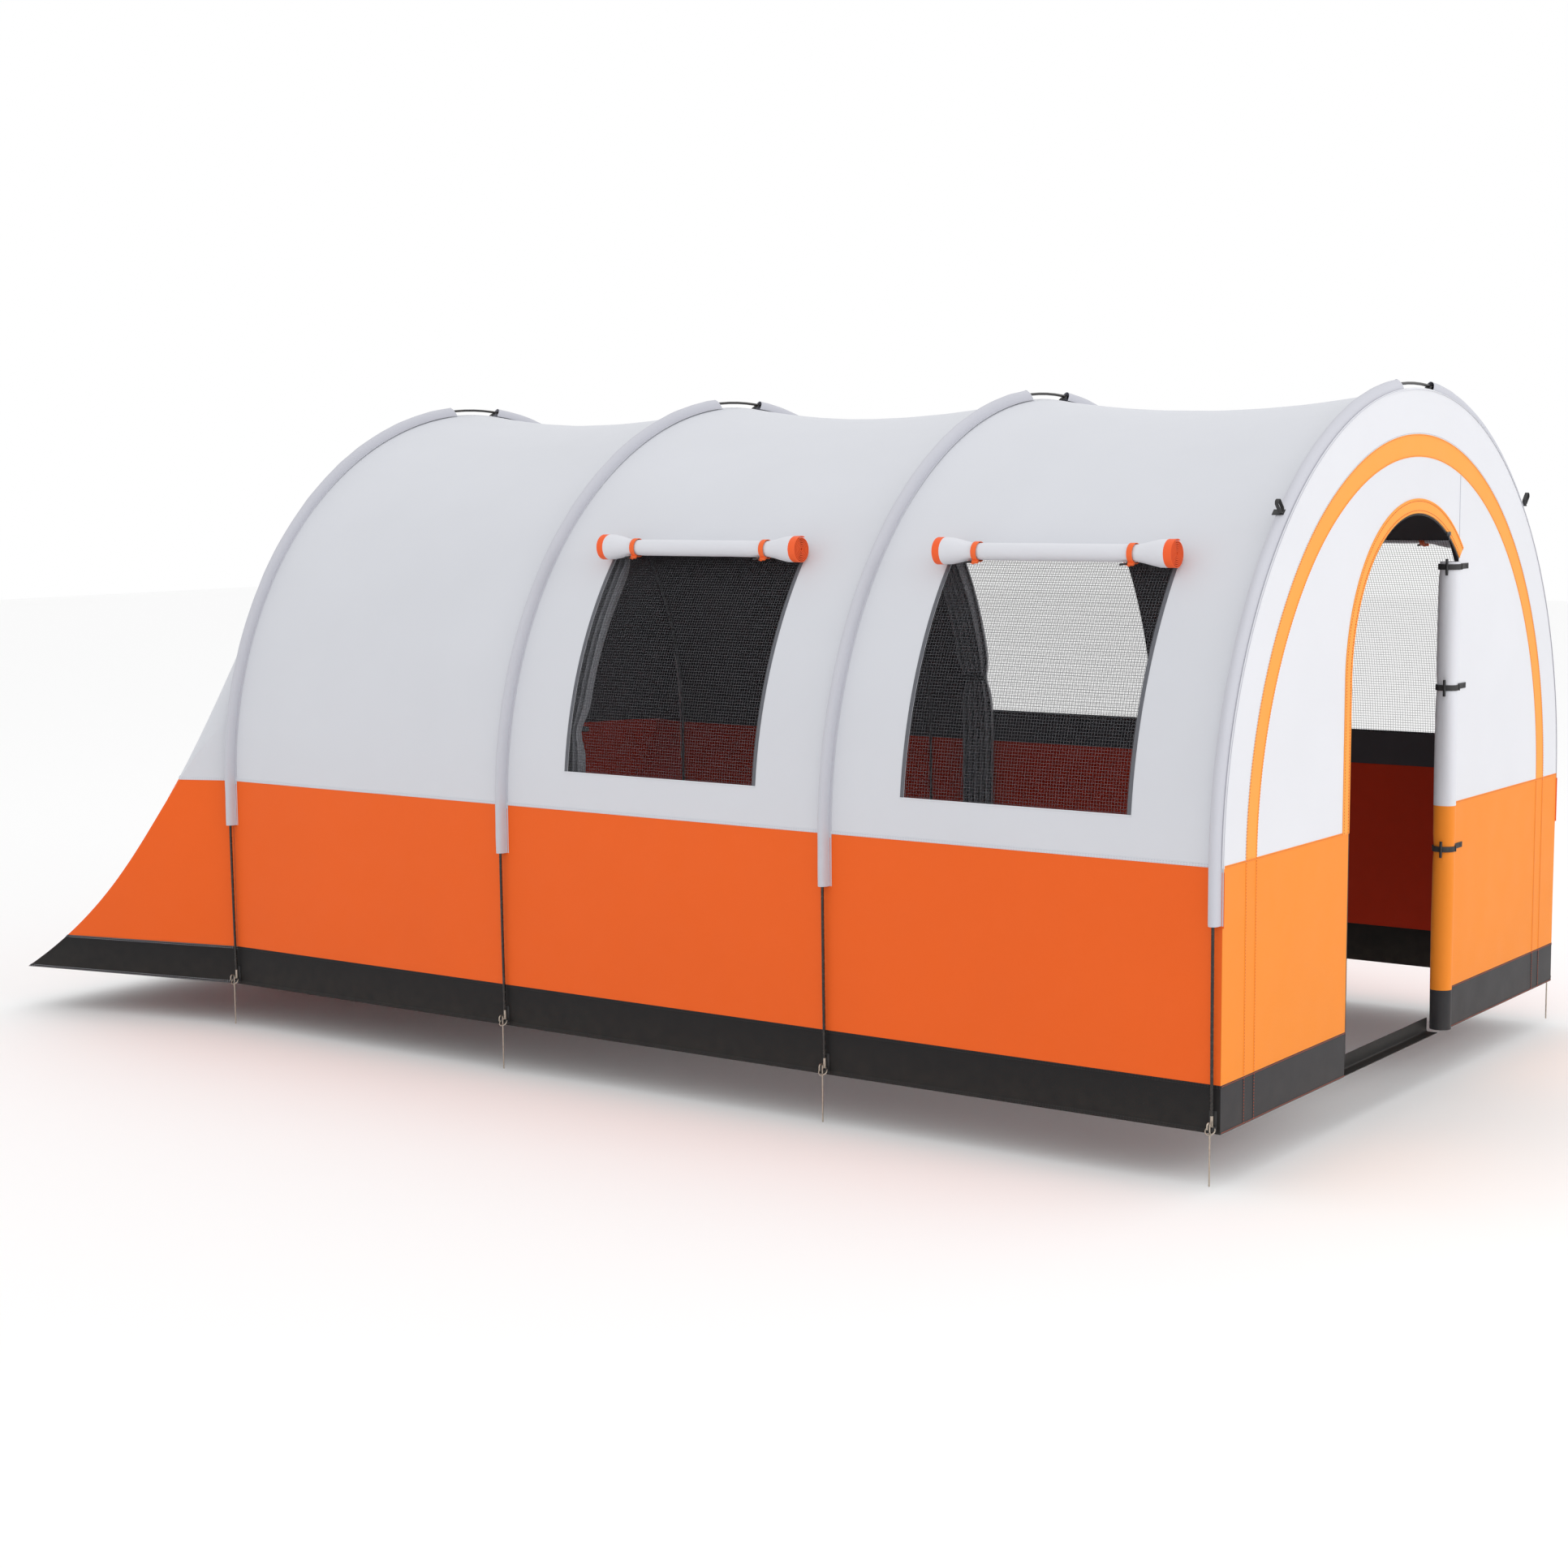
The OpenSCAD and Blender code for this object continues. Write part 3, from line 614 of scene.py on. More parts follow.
@dataclass(frozen=True)
class TailShape:
    """The sloping tail: it fans from the last hoop down to a wider line on the ground."""

    tent: TentShape
    side_share: float = 0.14
    spread_power: float = 0.6
    fan_start: float = 0.04
    slack_height: float = 0.006

    def column(self, s: float) -> tuple[float, float, float]:
        """Where a column of the tail starts and ends.

        Args:
            s: Share of the way round, from 0 at the left wall to 1 at the right wall.

        Returns:
            Its angle on the hoop, and its place behind the hoop and across, on the ground.
        """
        tent = self.tent
        crease = tent.crease_angle
        if s < self.side_share or s > 1 - self.side_share:
            f = (s if s < 0.5 else 1 - s) / self.side_share
            angle = crease * (tent.hem_share + (1 - tent.hem_share) * f)
            y = tent.half_w + f * (tent.corner_y - tent.half_w)
            return (angle, f * tent.tail_l, -y) if s < 0.5 else (math.pi - angle, f * tent.tail_l, y)
        f = 1 - 2 * (s - self.side_share) / (1 - 2 * self.side_share)
        return math.pi / 2 - f * (math.pi / 2 - crease), tent.tail_l, -tent.corner_y * f

    def top(self, s: float) -> float:
        """Height at which a column starts on the hoop."""
        return self.tent.wall_h + self.tent.half_w * math.sin(self.column(s)[0])

    def point(self, s: float, z: float) -> Vector:
        """Point of the tail at height z of column s."""
        tent = self.tent
        angle, back, y_ground = self.column(s)
        y_hoop = -tent.half_w * math.cos(angle)
        v = 1 - z / self.top(s)
        hollow = tent.tail_hollow * 6.75 * v * v * (1 - v) * back / tent.tail_l
        crease = min(abs(s - self.side_share), abs(s - 1 + self.side_share)) / self.side_share
        calm = unit_bump(v / 2 + 0.5) * unit_bump(v * 2) if v < 0.25 else unit_bump(v / 2 + 0.5)
        ripple = self.slack_height * noise.noise(Vector((s * 9.0, v * 3.0, 21.0))) * calm * min(1.0, crease)
        x = tent.hoops[3] - back * v + hollow - ripple * back / tent.tail_l
        fan = v ** self.spread_power * (1 - math.exp(-v / self.fan_start))
        return Vector((x, y_hoop + (y_ground - y_hoop) * fan, z))

    def normal(self, s: float, z: float) -> Vector:
        """Outward direction of the tail at height z of column s."""
        step = 0.01
        across = self.point(min(s + step, 1.0), z) - self.point(max(s - step, 0.0), z)
        up = self.point(s, z + step) - self.point(s, max(z - step, 0.0))
        return across.cross(up).normalized() * -1

    def stations(self, count: int) -> list[float]:
        """Column shares with one on each corner crease."""
        return evenly(0.0, 1.0, count, (self.side_share, 1 - self.side_share))


# ------------------------------------------------------------ cloth and trims


@dataclass
class Sheets:
    """Makes sheets of cloth, tapes and rows of stitches."""

    thickness: float = 1.2 * MM
    stitch_l: float = 5.0 * MM
    stitch_w: float = 1.6 * MM
    stitch_pitch: float = 8.5 * MM

    def sheet(
        self,
        name: str,
        rows: Grid,
        outward: Callable[[Vector], Vector],
        materials: Sequence[bpy.types.Material],
        thickness: Optional[float] = None,
        skip: Optional[Callable[[Vector], bool]] = None,
        zone: Optional[Callable[[Vector], int]] = None,
        sharp_deg: float = 40.0,
    ) -> bpy.types.Object:
        """Makes one sheet with its real thickness from a grid of points.

        Args:
            name: Name of the piece.
            rows: Points of the outer face, row by row.
            outward: Gives the outward direction at a point.
            materials: Outer finishes followed by as many inner finishes.
            thickness: Thickness in metres, or None for plain cloth.
            skip: Says that the cell round a point is cut out.
            zone: Number of the outer finish at a point.
            sharp_deg: Angle past which an edge is a crease.

        Returns:
            The piece, with a UV map in metres named cloth.
        """
        cols = len(rows[0])
        points = [p for row in rows for p in row]
        uvs = self._flat_places(rows)
        cells = []
        for r in range(len(rows) - 1):
            for c in range(cols - 1):
                corner = [r * cols + c, r * cols + c + 1, (r + 1) * cols + c + 1, (r + 1) * cols + c]
                middle = sum((points[k] for k in corner), Vector()) / 4
                if skip is None or not skip(middle):
                    cells.append((corner, middle))
        facing = 0.0
        for corner, middle in cells:
            a, b, c, d = (points[k] for k in corner)
            facing += (c - a).cross(d - b).dot(outward(middle))
        faces = [corner if facing > 0 else corner[::-1] for corner, _ in cells]
        used = sorted({k for f in faces for k in f})
        number = {k: n for n, k in enumerate(used)}
        mesh = bpy.data.meshes.new(name)
        mesh.from_pydata([points[k] for k in used], [], [[number[k] for k in f] for f in faces])
        layer = mesh.uv_layers.new(name="cloth")
        flat = [uvs[k] for f in faces for k in f]
        layer.data.foreach_set("uv", [value for uv in flat for value in uv])
        piece = bpy.data.objects.new(name, mesh)
        bpy.context.scene.collection.objects.link(piece)
        give(piece, *materials)
        if zone is not None:
            mesh.polygons.foreach_set("material_index", [zone(middle) for _, middle in cells])
        apply_modifier(
            piece, "SOLIDIFY", thickness=thickness or self.thickness, offset=-1.0, use_rim=True,
            use_quality_normals=True, material_offset=len(materials) // 2, material_offset_rim=0)
        smooth(piece, sharp_deg)
        return piece

    def _flat_places(self, rows: Grid) -> list[tuple[float, float]]:
        """Place of each point in metres, measured along its row and along its column."""
        across = [0.0]
        for k in range(1, len(rows[0])):
            across.append(across[-1] + (rows[0][k] - rows[0][k - 1]).length)
        middle = len(rows[0]) // 2
        along = [0.0]
        for k in range(1, len(rows)):
            along.append(along[-1] + (rows[k][middle] - rows[k - 1][middle]).length)
        return [(u, v) for v in along for u in across]

    def tape(
        self,
        name: str,
        path: Sequence[tuple[Vector, Vector]],
        width: float,
        material: bpy.types.Material,
        thickness: float = 0.9 * MM,
        shift: float = 0.0,
    ) -> bpy.types.Object:
        """Lays a flat tape along a path, with its middle a little proud.

        Args:
            name: Name of the piece.
            path: Points on the cloth, each with the outward direction there.
            width: Width of the tape.
            material: Its finish.
            thickness: Its thickness.
            shift: How far its middle lies to the side of the path.

        Returns:
            The piece.
        """
        rows = []
        for k, (point, normal) in enumerate(path):
            ahead = path[min(k + 1, len(path) - 1)][0] - path[max(k - 1, 0)][0]
            side = normal.cross(ahead).normalized()
            row = []
            for share, lift in ((-0.5, 0.25), (-0.36, 1.0), (0.0, 1.15), (0.36, 1.0), (0.5, 0.25)):
                row.append(point + side * (shift + share * width) + normal * thickness * lift)
            rows.append(row)
        normals = [n for _, n in path]
        mean = sum(normals, Vector())
        steady = mean.length > 0.5 * len(path)
        centre = sum((p for p, _ in path), Vector()) / len(path)
        inner = centre - mean.normalized() * 5 if steady else Vector((centre.x, 0, 0.7))
        return self.sheet(name, rows, lambda p: p - inner, (material, material), thickness)

    def stitches(
        self,
        name: str,
        paths: Sequence[Sequence[tuple[Vector, Vector]]],
        shifts: Sequence[float],
        lift: float,
        material: bpy.types.Material,
    ) -> bpy.types.Object:
        """Sews rows of stitches along paths: one stitch is modelled and copied.

        Args:
            name: Name of the piece that holds the rows.
            paths: Points with outward directions.
            shifts: Sideways place of each row from the path.
            lift: Height of the stitches above the path.
            material: The thread's finish.

        Returns:
            The piece.
        """
        base, faces = self._one_stitch()
        points, cells = [], []
        for path in paths:
            for shift in shifts:
                for middle, ahead, normal in self._steps(path, shift):
                    side = normal.cross(ahead).normalized()
                    turned = Matrix((ahead, side, normal)).transposed()
                    start = len(points)
                    points += [middle + normal * lift + turned @ p for p in base]
                    cells += [[start + k for k in f] for f in faces]
        mesh = bpy.data.meshes.new(name)
        mesh.from_pydata(points, [], cells)
        piece = bpy.data.objects.new(name, mesh)
        bpy.context.scene.collection.objects.link(piece)
        return give(piece, material)

    def _one_stitch(self) -> tuple[list[Vector], list[list[int]]]:
        """Models one stitch: a short thread that dives into the cloth at both ends."""
        bpy.ops.object.select_all(action="DESELECT")
        bpy.ops.mesh.primitive_cube_add(size=1)
        stitch = bpy.context.object
        stitch.scale = (self.stitch_l, self.stitch_w, self.stitch_w * 0.8)
        place_down(stitch)
        for vertex in stitch.data.vertices:
            if vertex.co.z > 0:
                vertex.co.x *= 0.62
                vertex.co.y *= 0.5
        base = [v.co.copy() for v in stitch.data.vertices]
        faces = [list(f.vertices) for f in stitch.data.polygons]
        bpy.data.objects.remove(stitch)
        return base, faces

    def _steps(
        self, path: Sequence[tuple[Vector, Vector]], shift: float
    ) -> list[tuple[Vector, Vector, Vector]]:
        """Even steps along a path: the place, the way ahead and the outward direction."""
        shifted = []
        for k, (point, normal) in enumerate(path):
            ahead = path[min(k + 1, len(path) - 1)][0] - path[max(k - 1, 0)][0]
            shifted.append(point + normal.cross(ahead).normalized() * shift)
        steps, reach = [], self.stitch_pitch / 2
        for k in range(len(shifted) - 1):
            run = shifted[k + 1] - shifted[k]
            length = run.length
            while reach < length:
                share = reach / length
                normal = path[k][1].lerp(path[k + 1][1], share).normalized()
                ahead = (run - normal * run.dot(normal)).normalized()
                steps.append((shifted[k] + run * share, ahead, normal))
                reach += self.stitch_pitch
            reach -= length
        return steps


SHEETS = Sheets()
INSIDE = Vector((-1.8, 0.0, 0.8))


def from_inside(point: Vector) -> Vector:
    """Outward direction seen from the tent's middle line."""
    return Vector((0.0, point.y, max(point.z - INSIDE.z, 0.0)))


def keep_cloth(
    piece: bpy.types.Object,
    nodes: Sequence[str],
    slot: str,
    flat: tuple[float, float],
    body: str = "tent",
    with_pieces: Sequence[bpy.types.Object] = (),
) -> None:
    """Args:
        piece: The sheet.
        nodes: The CAD nodes that it stands for.
        slot: Material slot of the record; not used.
        flat: Width and length of the cut cloth.
        body: The body that it rides on.
        with_pieces: Trims sewn on it.
    """
    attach(piece, body)
    if nodes:
        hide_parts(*nodes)
    for trim in with_pieces:
        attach(trim, body)
    LOG.info("sheet %s, flat %.2f by %.2f m", piece.name, *flat)


def keep_trim(piece: bpy.types.Object, slot: str, nodes: Sequence[str] = (), body: str = "tent") -> None:
    """Puts a trim or fitting on its body.

    Args:
        piece: The trim.
        slot: Material slot of the record; not used.
        nodes: The CAD nodes that it stands for.
        body: The body that it rides on.
    """
    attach(piece, body)
    if nodes:
        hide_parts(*nodes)
    LOG.info("trim %s on %s", piece.name, body)


# -------------------------------------------------------------- the tent body


def flat_size(rows: Grid) -> tuple[float, float]:
    """Width and length of the cloth that a grid of points is made of."""
    width = sum(sum((b - a).length for a, b in zip(row, row[1:])) for row in rows) / len(rows)
    cols = range(len(rows[0]))
    length = sum(sum((b[c] - a[c]).length for a, b in zip(rows, rows[1:])) for c in cols) / len(rows[0])
    return width, length


@dataclass
class RoofCanopy:
    """Grey cloth over the three bays, with its window cut-outs, seams and stitching."""

    tent: TentShape
    finish: Finishes
    columns: int = 39
    rings: int = 97
    seam_w: float = 9 * MM
    allowance: float = 16 * MM

    def window(self, bay: int) -> Optional[tuple[float, float, float, float]]:
        """Window of a bay: its two ends along the tent, and its sill and top as angles."""
        if bay > 2:
            return None
        low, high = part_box(f"window_mesh_right_{bay}")
        rise = low.z - self.tent.wall_h
        return low.x, high.x, math.asin(rise / self.tent.half_w), math.asin(
            (high.z - self.tent.wall_h) / self.tent.half_w)

    def build(self) -> None:
        """Builds the bays and sews their seams."""
        for bay in (1, 2, 3):
            self._bay(bay)
        for hoop in (2, 3, 4):
            self._allowance(hoop)
        self._stitching()

    def _bay(self, bay: int) -> None:
        """Builds the cloth of one bay."""
        tent = self.tent
        ahead = tent.front_x - MM if bay == 1 else tent.hoops[bay - 1]
        window = self.window(bay)
        x_marks = [tent.hoops[0]] if bay == 1 else []
        a_marks: list[float] = []
        skip = None
        area = (ahead - tent.hoops[bay]) * math.pi * tent.half_w
        if window:
            x0, x1, a0, a1 = window
            x_marks += [x0, x1]
            a_marks = [a0, a1, math.pi - a0, math.pi - a1]
            area -= 2 * (x1 - x0) * (a1 - a0) * tent.half_w

            def skip(p: Vector) -> bool:
                """True inside a window."""
                angle = math.atan2(p.z - tent.wall_h, abs(p.y))
                return x0 < p.x < x1 and a0 < angle < a1

        xs = evenly(ahead, tent.hoops[bay], self.columns, x_marks)
        angles = evenly(0.0, math.pi, self.rings, a_marks)
        rows = [[tent.roof_point(x, a) for x in xs] for a in angles]
        piece = SHEETS.sheet(f"roof_bay_cloth_{bay}", rows, from_inside,
                             (self.finish.grey, self.finish.painted_shade_inside_grey), skip=skip)
        flat = (ahead - tent.hoops[bay], math.pi * tent.half_w)
        keep_cloth(piece, [f"roof_bay_{bay}"], "upper_cloth", flat)

    def _allowance(self, hoop: int) -> None:
        """Turns the seam's raw edges inwards at a hoop, from one wall's foot to the other's."""
        tent = self.tent
        x = tent.hoops[hoop - 1]
        walls = [(tent.half_w, z) for z in evenly(0.0, tent.wall_h, 16)]
        rows = []
        for depth in (0.6 * MM, self.allowance / 2, self.allowance):
            left = [Vector((x, -y + depth, z)) for y, z in walls]
            arch = [Vector((x, -(tent.half_w - depth) * math.cos(a),
                            tent.wall_h + (tent.half_w - depth) * math.sin(a)))
                    for a in evenly(0.0, math.pi, 80)]
            rows.append(left + arch[1:-1] + [Vector((p.x, -p.y, p.z)) for p in reversed(left)])
        # Both faces take the painted shade of the tent's inside.
        piece = SHEETS.sheet(f"hoop_seam_allowance_{hoop}", rows, lambda p: Vector((1, 0, 0)),
                             (self.finish.painted_shade_inside_grey, self.finish.painted_shade_inside_grey), 1.6 * MM)
        keep_trim(piece, "upper_cloth")

    def _stitching(self) -> None:
        """Lays the felled seam above the colour change, and its two rows of stitches."""
        tent = self.tent
        lift = 0.3 * MM
        paths = []
        for side in Side:
            base = 0.0 if side is Side.LEFT else math.pi
            turn = 1 if side is Side.LEFT else -1
            angle = base + turn * self.seam_w / 2 / tent.half_w
            xs = evenly(tent.hoops[3], tent.front_x - 2 * MM, 150)
            path = [(tent.roof_point(x, angle, lift), Vector((0, side.sign, 0.0))) for x in xs]
            piece = SHEETS.tape(f"colour_seam_{side.value}", path, self.seam_w, self.finish.grey)
            keep_trim(piece, "upper_cloth")
            paths.append(path)
        rows = SHEETS.stitches("colour_seam_stitches", paths, (-2.6 * MM, 2.6 * MM), 1.1 * MM,
                               self.finish.pale_thread)
        keep_trim(rows, "upper_cloth")


@dataclass
class SideWalls:
    """Orange bands and charcoal skirts of the two side walls."""

    tent: TentShape
    finish: Finishes
    columns: int = 151
    seam_w: float = 9 * MM
    hem_h: float = 14 * MM

    def build(self) -> None:
        """Builds both walls, their seams and their hems."""
        tent = self.tent
        front = tent.front_x - MM
        xs = evenly(tent.hoops[3], front, self.columns, tent.hoops[1:3])
        length = front - tent.hoops[3]
        paths = []
        for side in Side:
            self._part(f"side_band_cloth_{side.value}", f"side_band_{side.value}", side, xs,
                       evenly(tent.skirt_h, tent.wall_h, 20), "side_cloth",
                       (self.finish.orange, self.finish.painted_shade_inside_orange), length)
            self._part(f"ground_skirt_cloth_{side.value}", f"ground_skirt_{side.value}", side, xs,
                       evenly(0.0, tent.skirt_h, 8), "skirt_cloth",
                       (self.finish.skirt, self.finish.painted_shade_inside_skirt), length)
            out = Vector((0, side.sign, 0))
            seam = [(tent.wall_point(side, x, tent.skirt_h - self.seam_w / 2, 0.3 * MM), out) for x in xs]
            hem = [(tent.wall_point(side, x, self.hem_h / 2 + 0.5 * MM, 0.3 * MM), out) for x in xs]
            keep_trim(SHEETS.tape(f"skirt_seam_{side.value}", seam, self.seam_w, self.finish.skirt),
                      "skirt_cloth")
            keep_trim(SHEETS.tape(f"skirt_hem_{side.value}", hem, self.hem_h, self.finish.skirt),
                      "skirt_cloth")
            paths += [seam, hem]
        rows = SHEETS.stitches("skirt_stitches", paths, (-2.6 * MM, 2.6 * MM), 1.1 * MM,
                               self.finish.dark_thread)
        keep_trim(rows, "skirt_cloth")

    def _part(
        self, name: str, node: str, side: Side, xs: Sequence[float], zs: Sequence[float], slot: str,
        materials: Sequence[bpy.types.Material], length: float,
    ) -> None:
        """Builds the cloth of one wall between two heights."""
        rows = [[self.tent.wall_point(side, x, z) for x in xs] for z in zs]
        piece = SHEETS.sheet(name, rows, lambda p: Vector((0, p.y, 0)), materials)
        keep_cloth(piece, [node], slot, (length, zs[-1] - zs[0]))


@dataclass
class Tail:
    """The sloping tail: grey above, orange and charcoal below, with creases at its corners."""

    tail: TailShape
    finish: Finishes
    columns: int = 121
    seam_w: float = 9 * MM

    def build(self) -> None:
        """Builds the three parts, their seams and their stitches."""
        tent = self.tail.tent
        stations = self.tail.stations(self.columns)
        parts = (("tail_upper", "upper_cloth", None, tent.wall_h, 34, self.finish.grey,
                  self.finish.painted_shade_inside_grey),
                 ("tail_lower", "side_cloth", tent.wall_h, tent.skirt_h, 22, self.finish.orange,
                  self.finish.painted_shade_inside_orange),
                 ("tail_skirt", "skirt_cloth", tent.skirt_h, 0.0, 8, self.finish.skirt,
                  self.finish.painted_shade_inside_skirt))
        for node, slot, high, low, count, outer, inner in parts:
            rows = []
            for k in range(count):
                share = k / (count - 1)
                tops = [self.tail.top(s) if high is None else high for s in stations]
                rows.append([self.tail.point(s, top + (low - top) * share)
                             for s, top in zip(stations, tops)])
            piece = SHEETS.sheet(f"{node}_cloth", rows, lambda p: Vector((-1, p.y, 0.5)), (outer, inner))
            keep_cloth(piece, [node], slot, flat_size(rows))
        self._seams(stations)

    def _seams(self, stations: Sequence[float]) -> None:
        """Lays the seams round the tail."""
        tent = self.tail.tent
        seams = []
        for name, z, material, slot in (
                ("tail_colour_seam", tent.wall_h + self.seam_w / 2, self.finish.grey, "upper_cloth"),
                ("tail_skirt_seam", tent.skirt_h - self.seam_w / 2, self.finish.skirt, "skirt_cloth"),
                ("tail_hem", self.seam_w / 2 + MM, self.finish.skirt, "skirt_cloth")):
            path = [(self.tail.point(s, z), self.tail.normal(s, z)) for s in stations]
            seams.append(path)
            piece = self._ribbon(name, path, self.seam_w, material)
            keep_trim(piece, slot)
        rows = SHEETS.stitches("tail_stitches", seams, (-2.6 * MM, 2.6 * MM), 1.1 * MM,
                               self.finish.pale_thread)
        keep_trim(rows, "upper_cloth")

    def _ribbon(
        self, name: str, path: Sequence[tuple[Vector, Vector]], width: float, material: bpy.types.Material
    ) -> bpy.types.Object:
        """Tape along a path that turns through more than a half turn."""
        rows = []
        for k, (point, normal) in enumerate(path):
            ahead = path[min(k + 1, len(path) - 1)][0] - path[max(k - 1, 0)][0]
            across = normal.cross(ahead).normalized()
            rows.append([point + across * width * share + normal * lift * MM
                         for share, lift in ((-0.5, 0.3), (-0.3, 1.0), (0.3, 1.0), (0.5, 0.3))])
        return SHEETS.sheet(name, rows, lambda p: Vector((-1, p.y, 0.3)), (material, material), 0.9 * MM)


# ------------------------------------------------------------------ the front


@dataclass(frozen=True)
class FrontShape:
    """The front wall's plane and its doorway, in metres."""

    tent: TentShape
    band_outer: float
    band_inner: float
    door_r: float
    door_spring: float
    hinge_y: float
    ripple: float = 1.2 * MM

    @classmethod
    def read(cls, tent: TentShape) -> "FrontShape":
        """Reads the front's boxes."""
        zip_low, zip_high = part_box("door_zip_chain")
        return cls(
            tent=tent, band_outer=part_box("front_arch_band")[1].z - tent.wall_h,
            band_inner=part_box("front_upper_wall")[1].z - tent.wall_h, door_r=-zip_low.y,
            door_spring=zip_high.z + zip_low.y, hinge_y=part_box("front_wall_right")[0].y)

    def point(self, y: float, z: float, lift: float = 0.0) -> Vector:
        """Point of the front wall's outer face."""
        wave = self.ripple * noise.noise(Vector((y * 3.1, z * 2.3, 40.0)))
        return Vector((self.tent.front_x + wave + lift, y, z))

    @property
    def arch_end(self) -> float:
        """Angle on the doorway's arch at which the hinge seam cuts it."""
        return math.acos(self.hinge_y / self.door_r)

    def outline(self, count: int, bottom: float, closed: bool) -> list[tuple[float, float]]:
        """Free edge of the doorway, from its left foot round the arch.

        Args:
            count: How many points.
            bottom: Height at which it starts.
            closed: Go on down the hinge seam to the same height.

        Returns:
            Places across and up, evenly spaced.
        """
        rise = self.door_spring - bottom
        arch = self.door_r * (math.pi - self.arch_end)
        end_z = self.door_spring + self.door_r * math.sin(self.arch_end)
        total = rise + arch + (end_z - bottom if closed else 0.0)
        points = []
        for reach in evenly(0.0, total, count, (rise, rise + arch) if closed else (rise,)):
            if reach <= rise:
                points.append((-self.door_r, bottom + reach))
            elif reach <= rise + arch:
                angle = math.pi - (reach - rise) / self.door_r
                points.append((self.door_r * math.cos(angle),
                               self.door_spring + self.door_r * math.sin(angle)))
            else:
                points.append((self.hinge_y, end_z - (reach - rise - arch)))
        return points


@dataclass
class FrontWall:
    """Front wall: pale arch, orange band, pale inner wall, orange and charcoal lower panels. The pale cloth
    and the lower panels are lighter copies of the side cloths: painted light from the front.
    """

    front: FrontShape
    finish: Finishes
    seam_w: float = 6 * MM
    edge_w: float = 5 * MM

    def build(self) -> None:
        """Builds the panels, then the seams between them."""
        self._ring("front_edge_cloth", "front_edge_strip", self.front.tent.half_w, self.front.band_outer,
                   "front_cloth", self.finish.painted_lit_front_grey)
        self._ring("front_band_cloth", "front_arch_band", self.front.band_outer, self.front.band_inner,
                   "trim_cloth", self.finish.trim)
        self._inner_wall()
        for side in Side:
            self._panel(side, "wall", self.front.tent.skirt_h, self.front.tent.wall_h, 22,
                        (self.finish.painted_lit_front_orange, self.finish.painted_shade_inside_orange), "side_cloth")
            self._panel(side, "skirt", 0.0, self.front.tent.skirt_h, 8,
                        (self.finish.painted_lit_front_skirt, self.finish.painted_shade_inside_skirt), "skirt_cloth")
        self._seams()

    def _ring(
        self, name: str, node: str, outer: float, inner: float, slot: str, material: bpy.types.Material
    ) -> None:
        """Builds an arched strip between two radii."""
        tent = self.front.tent
        rows = [[self.front.point(-r * math.cos(a), tent.wall_h + r * math.sin(a))
                 for r in evenly(inner, outer, 7)] for a in evenly(0.0, math.pi, 121)]
        piece = SHEETS.sheet(name, rows, lambda p: Vector((1, 0, 0)), (material, self.finish.painted_shade_inside_grey))
        area = math.pi / 2 * (outer**2 - inner**2)
        keep_cloth(piece, [node], slot, (outer - inner, area / (outer - inner)))

    def _inner_wall(self) -> None:
        """Builds the pale wall between the band and the doorway; its grey is painted lighter as painted light
        from the front.
        """
        front, tent = self.front, self.front.tent
        count = 141
        door = front.outline(count, tent.wall_h, closed=True)
        rows = []
        for k, (y, z) in enumerate(door):
            angle = math.pi - self._swing(k / (count - 1))
            edge = (front.band_inner * math.cos(angle), tent.wall_h + front.band_inner * math.sin(angle))
            rows.append([front.point(y + (edge[0] - y) * s, z + (edge[1] - z) * s)
                         for s in evenly(0.0, 1.0, 18)])
        piece = SHEETS.sheet("front_inner_wall_cloth", rows, lambda p: Vector((1, 0, 0)),
                             (self.finish.painted_lit_front_grey, self.finish.painted_shade_inside_grey))
        box = (2 * front.band_inner, front.band_inner)
        keep_cloth(piece, ["front_upper_wall"], "front_cloth", box)

    def _swing(self, share: float) -> float:
        """Angle on the band that faces a share of the doorway's edge."""
        return math.pi * share

    def _panel(
        self, side: Side, part: str, low: float, high: float, count: int,
        materials: Sequence[bpy.types.Material], slot: str,
    ) -> None:
        """Builds one lower panel beside the doorway."""
        half_w = self.front.tent.half_w
        y0, y1 = (-half_w, -self.front.door_r) if side is Side.LEFT else (self.front.hinge_y, half_w)
        rows = [[self.front.point(y, z) for y in evenly(y0, y1, 42)] for z in evenly(low, high, count)]
        piece = SHEETS.sheet(f"front_{part}_cloth_{side.value}", rows, lambda p: Vector((1, 0, 0)), materials)
        keep_cloth(piece, [f"front_{part}_{side.value}"], slot, (y1 - y0, high - low))

    def _arc(self, radius: float, lift: float) -> list[tuple[Vector, Vector]]:
        """Path round the arch at a radius."""
        tent = self.front.tent
        return [(self.front.point(-radius * math.cos(a), tent.wall_h + radius * math.sin(a), lift),
                 Vector((1, 0, 0))) for a in evenly(0.0, math.pi, 141)]

    def _upright(self, y: float, low: float, high: float, lift: float) -> list[tuple[Vector, Vector]]:
        """Path up the wall at one place across."""
        return [(self.front.point(y, z, lift), Vector((1, 0, 0))) for z in evenly(low, high, 40)]

    def _level(self, y0: float, y1: float, z: float, lift: float) -> list[tuple[Vector, Vector]]:
        """Path across the wall at one height."""
        return [(self.front.point(y, z, lift), Vector((1, 0, 0))) for y in evenly(y0, y1, 40)]

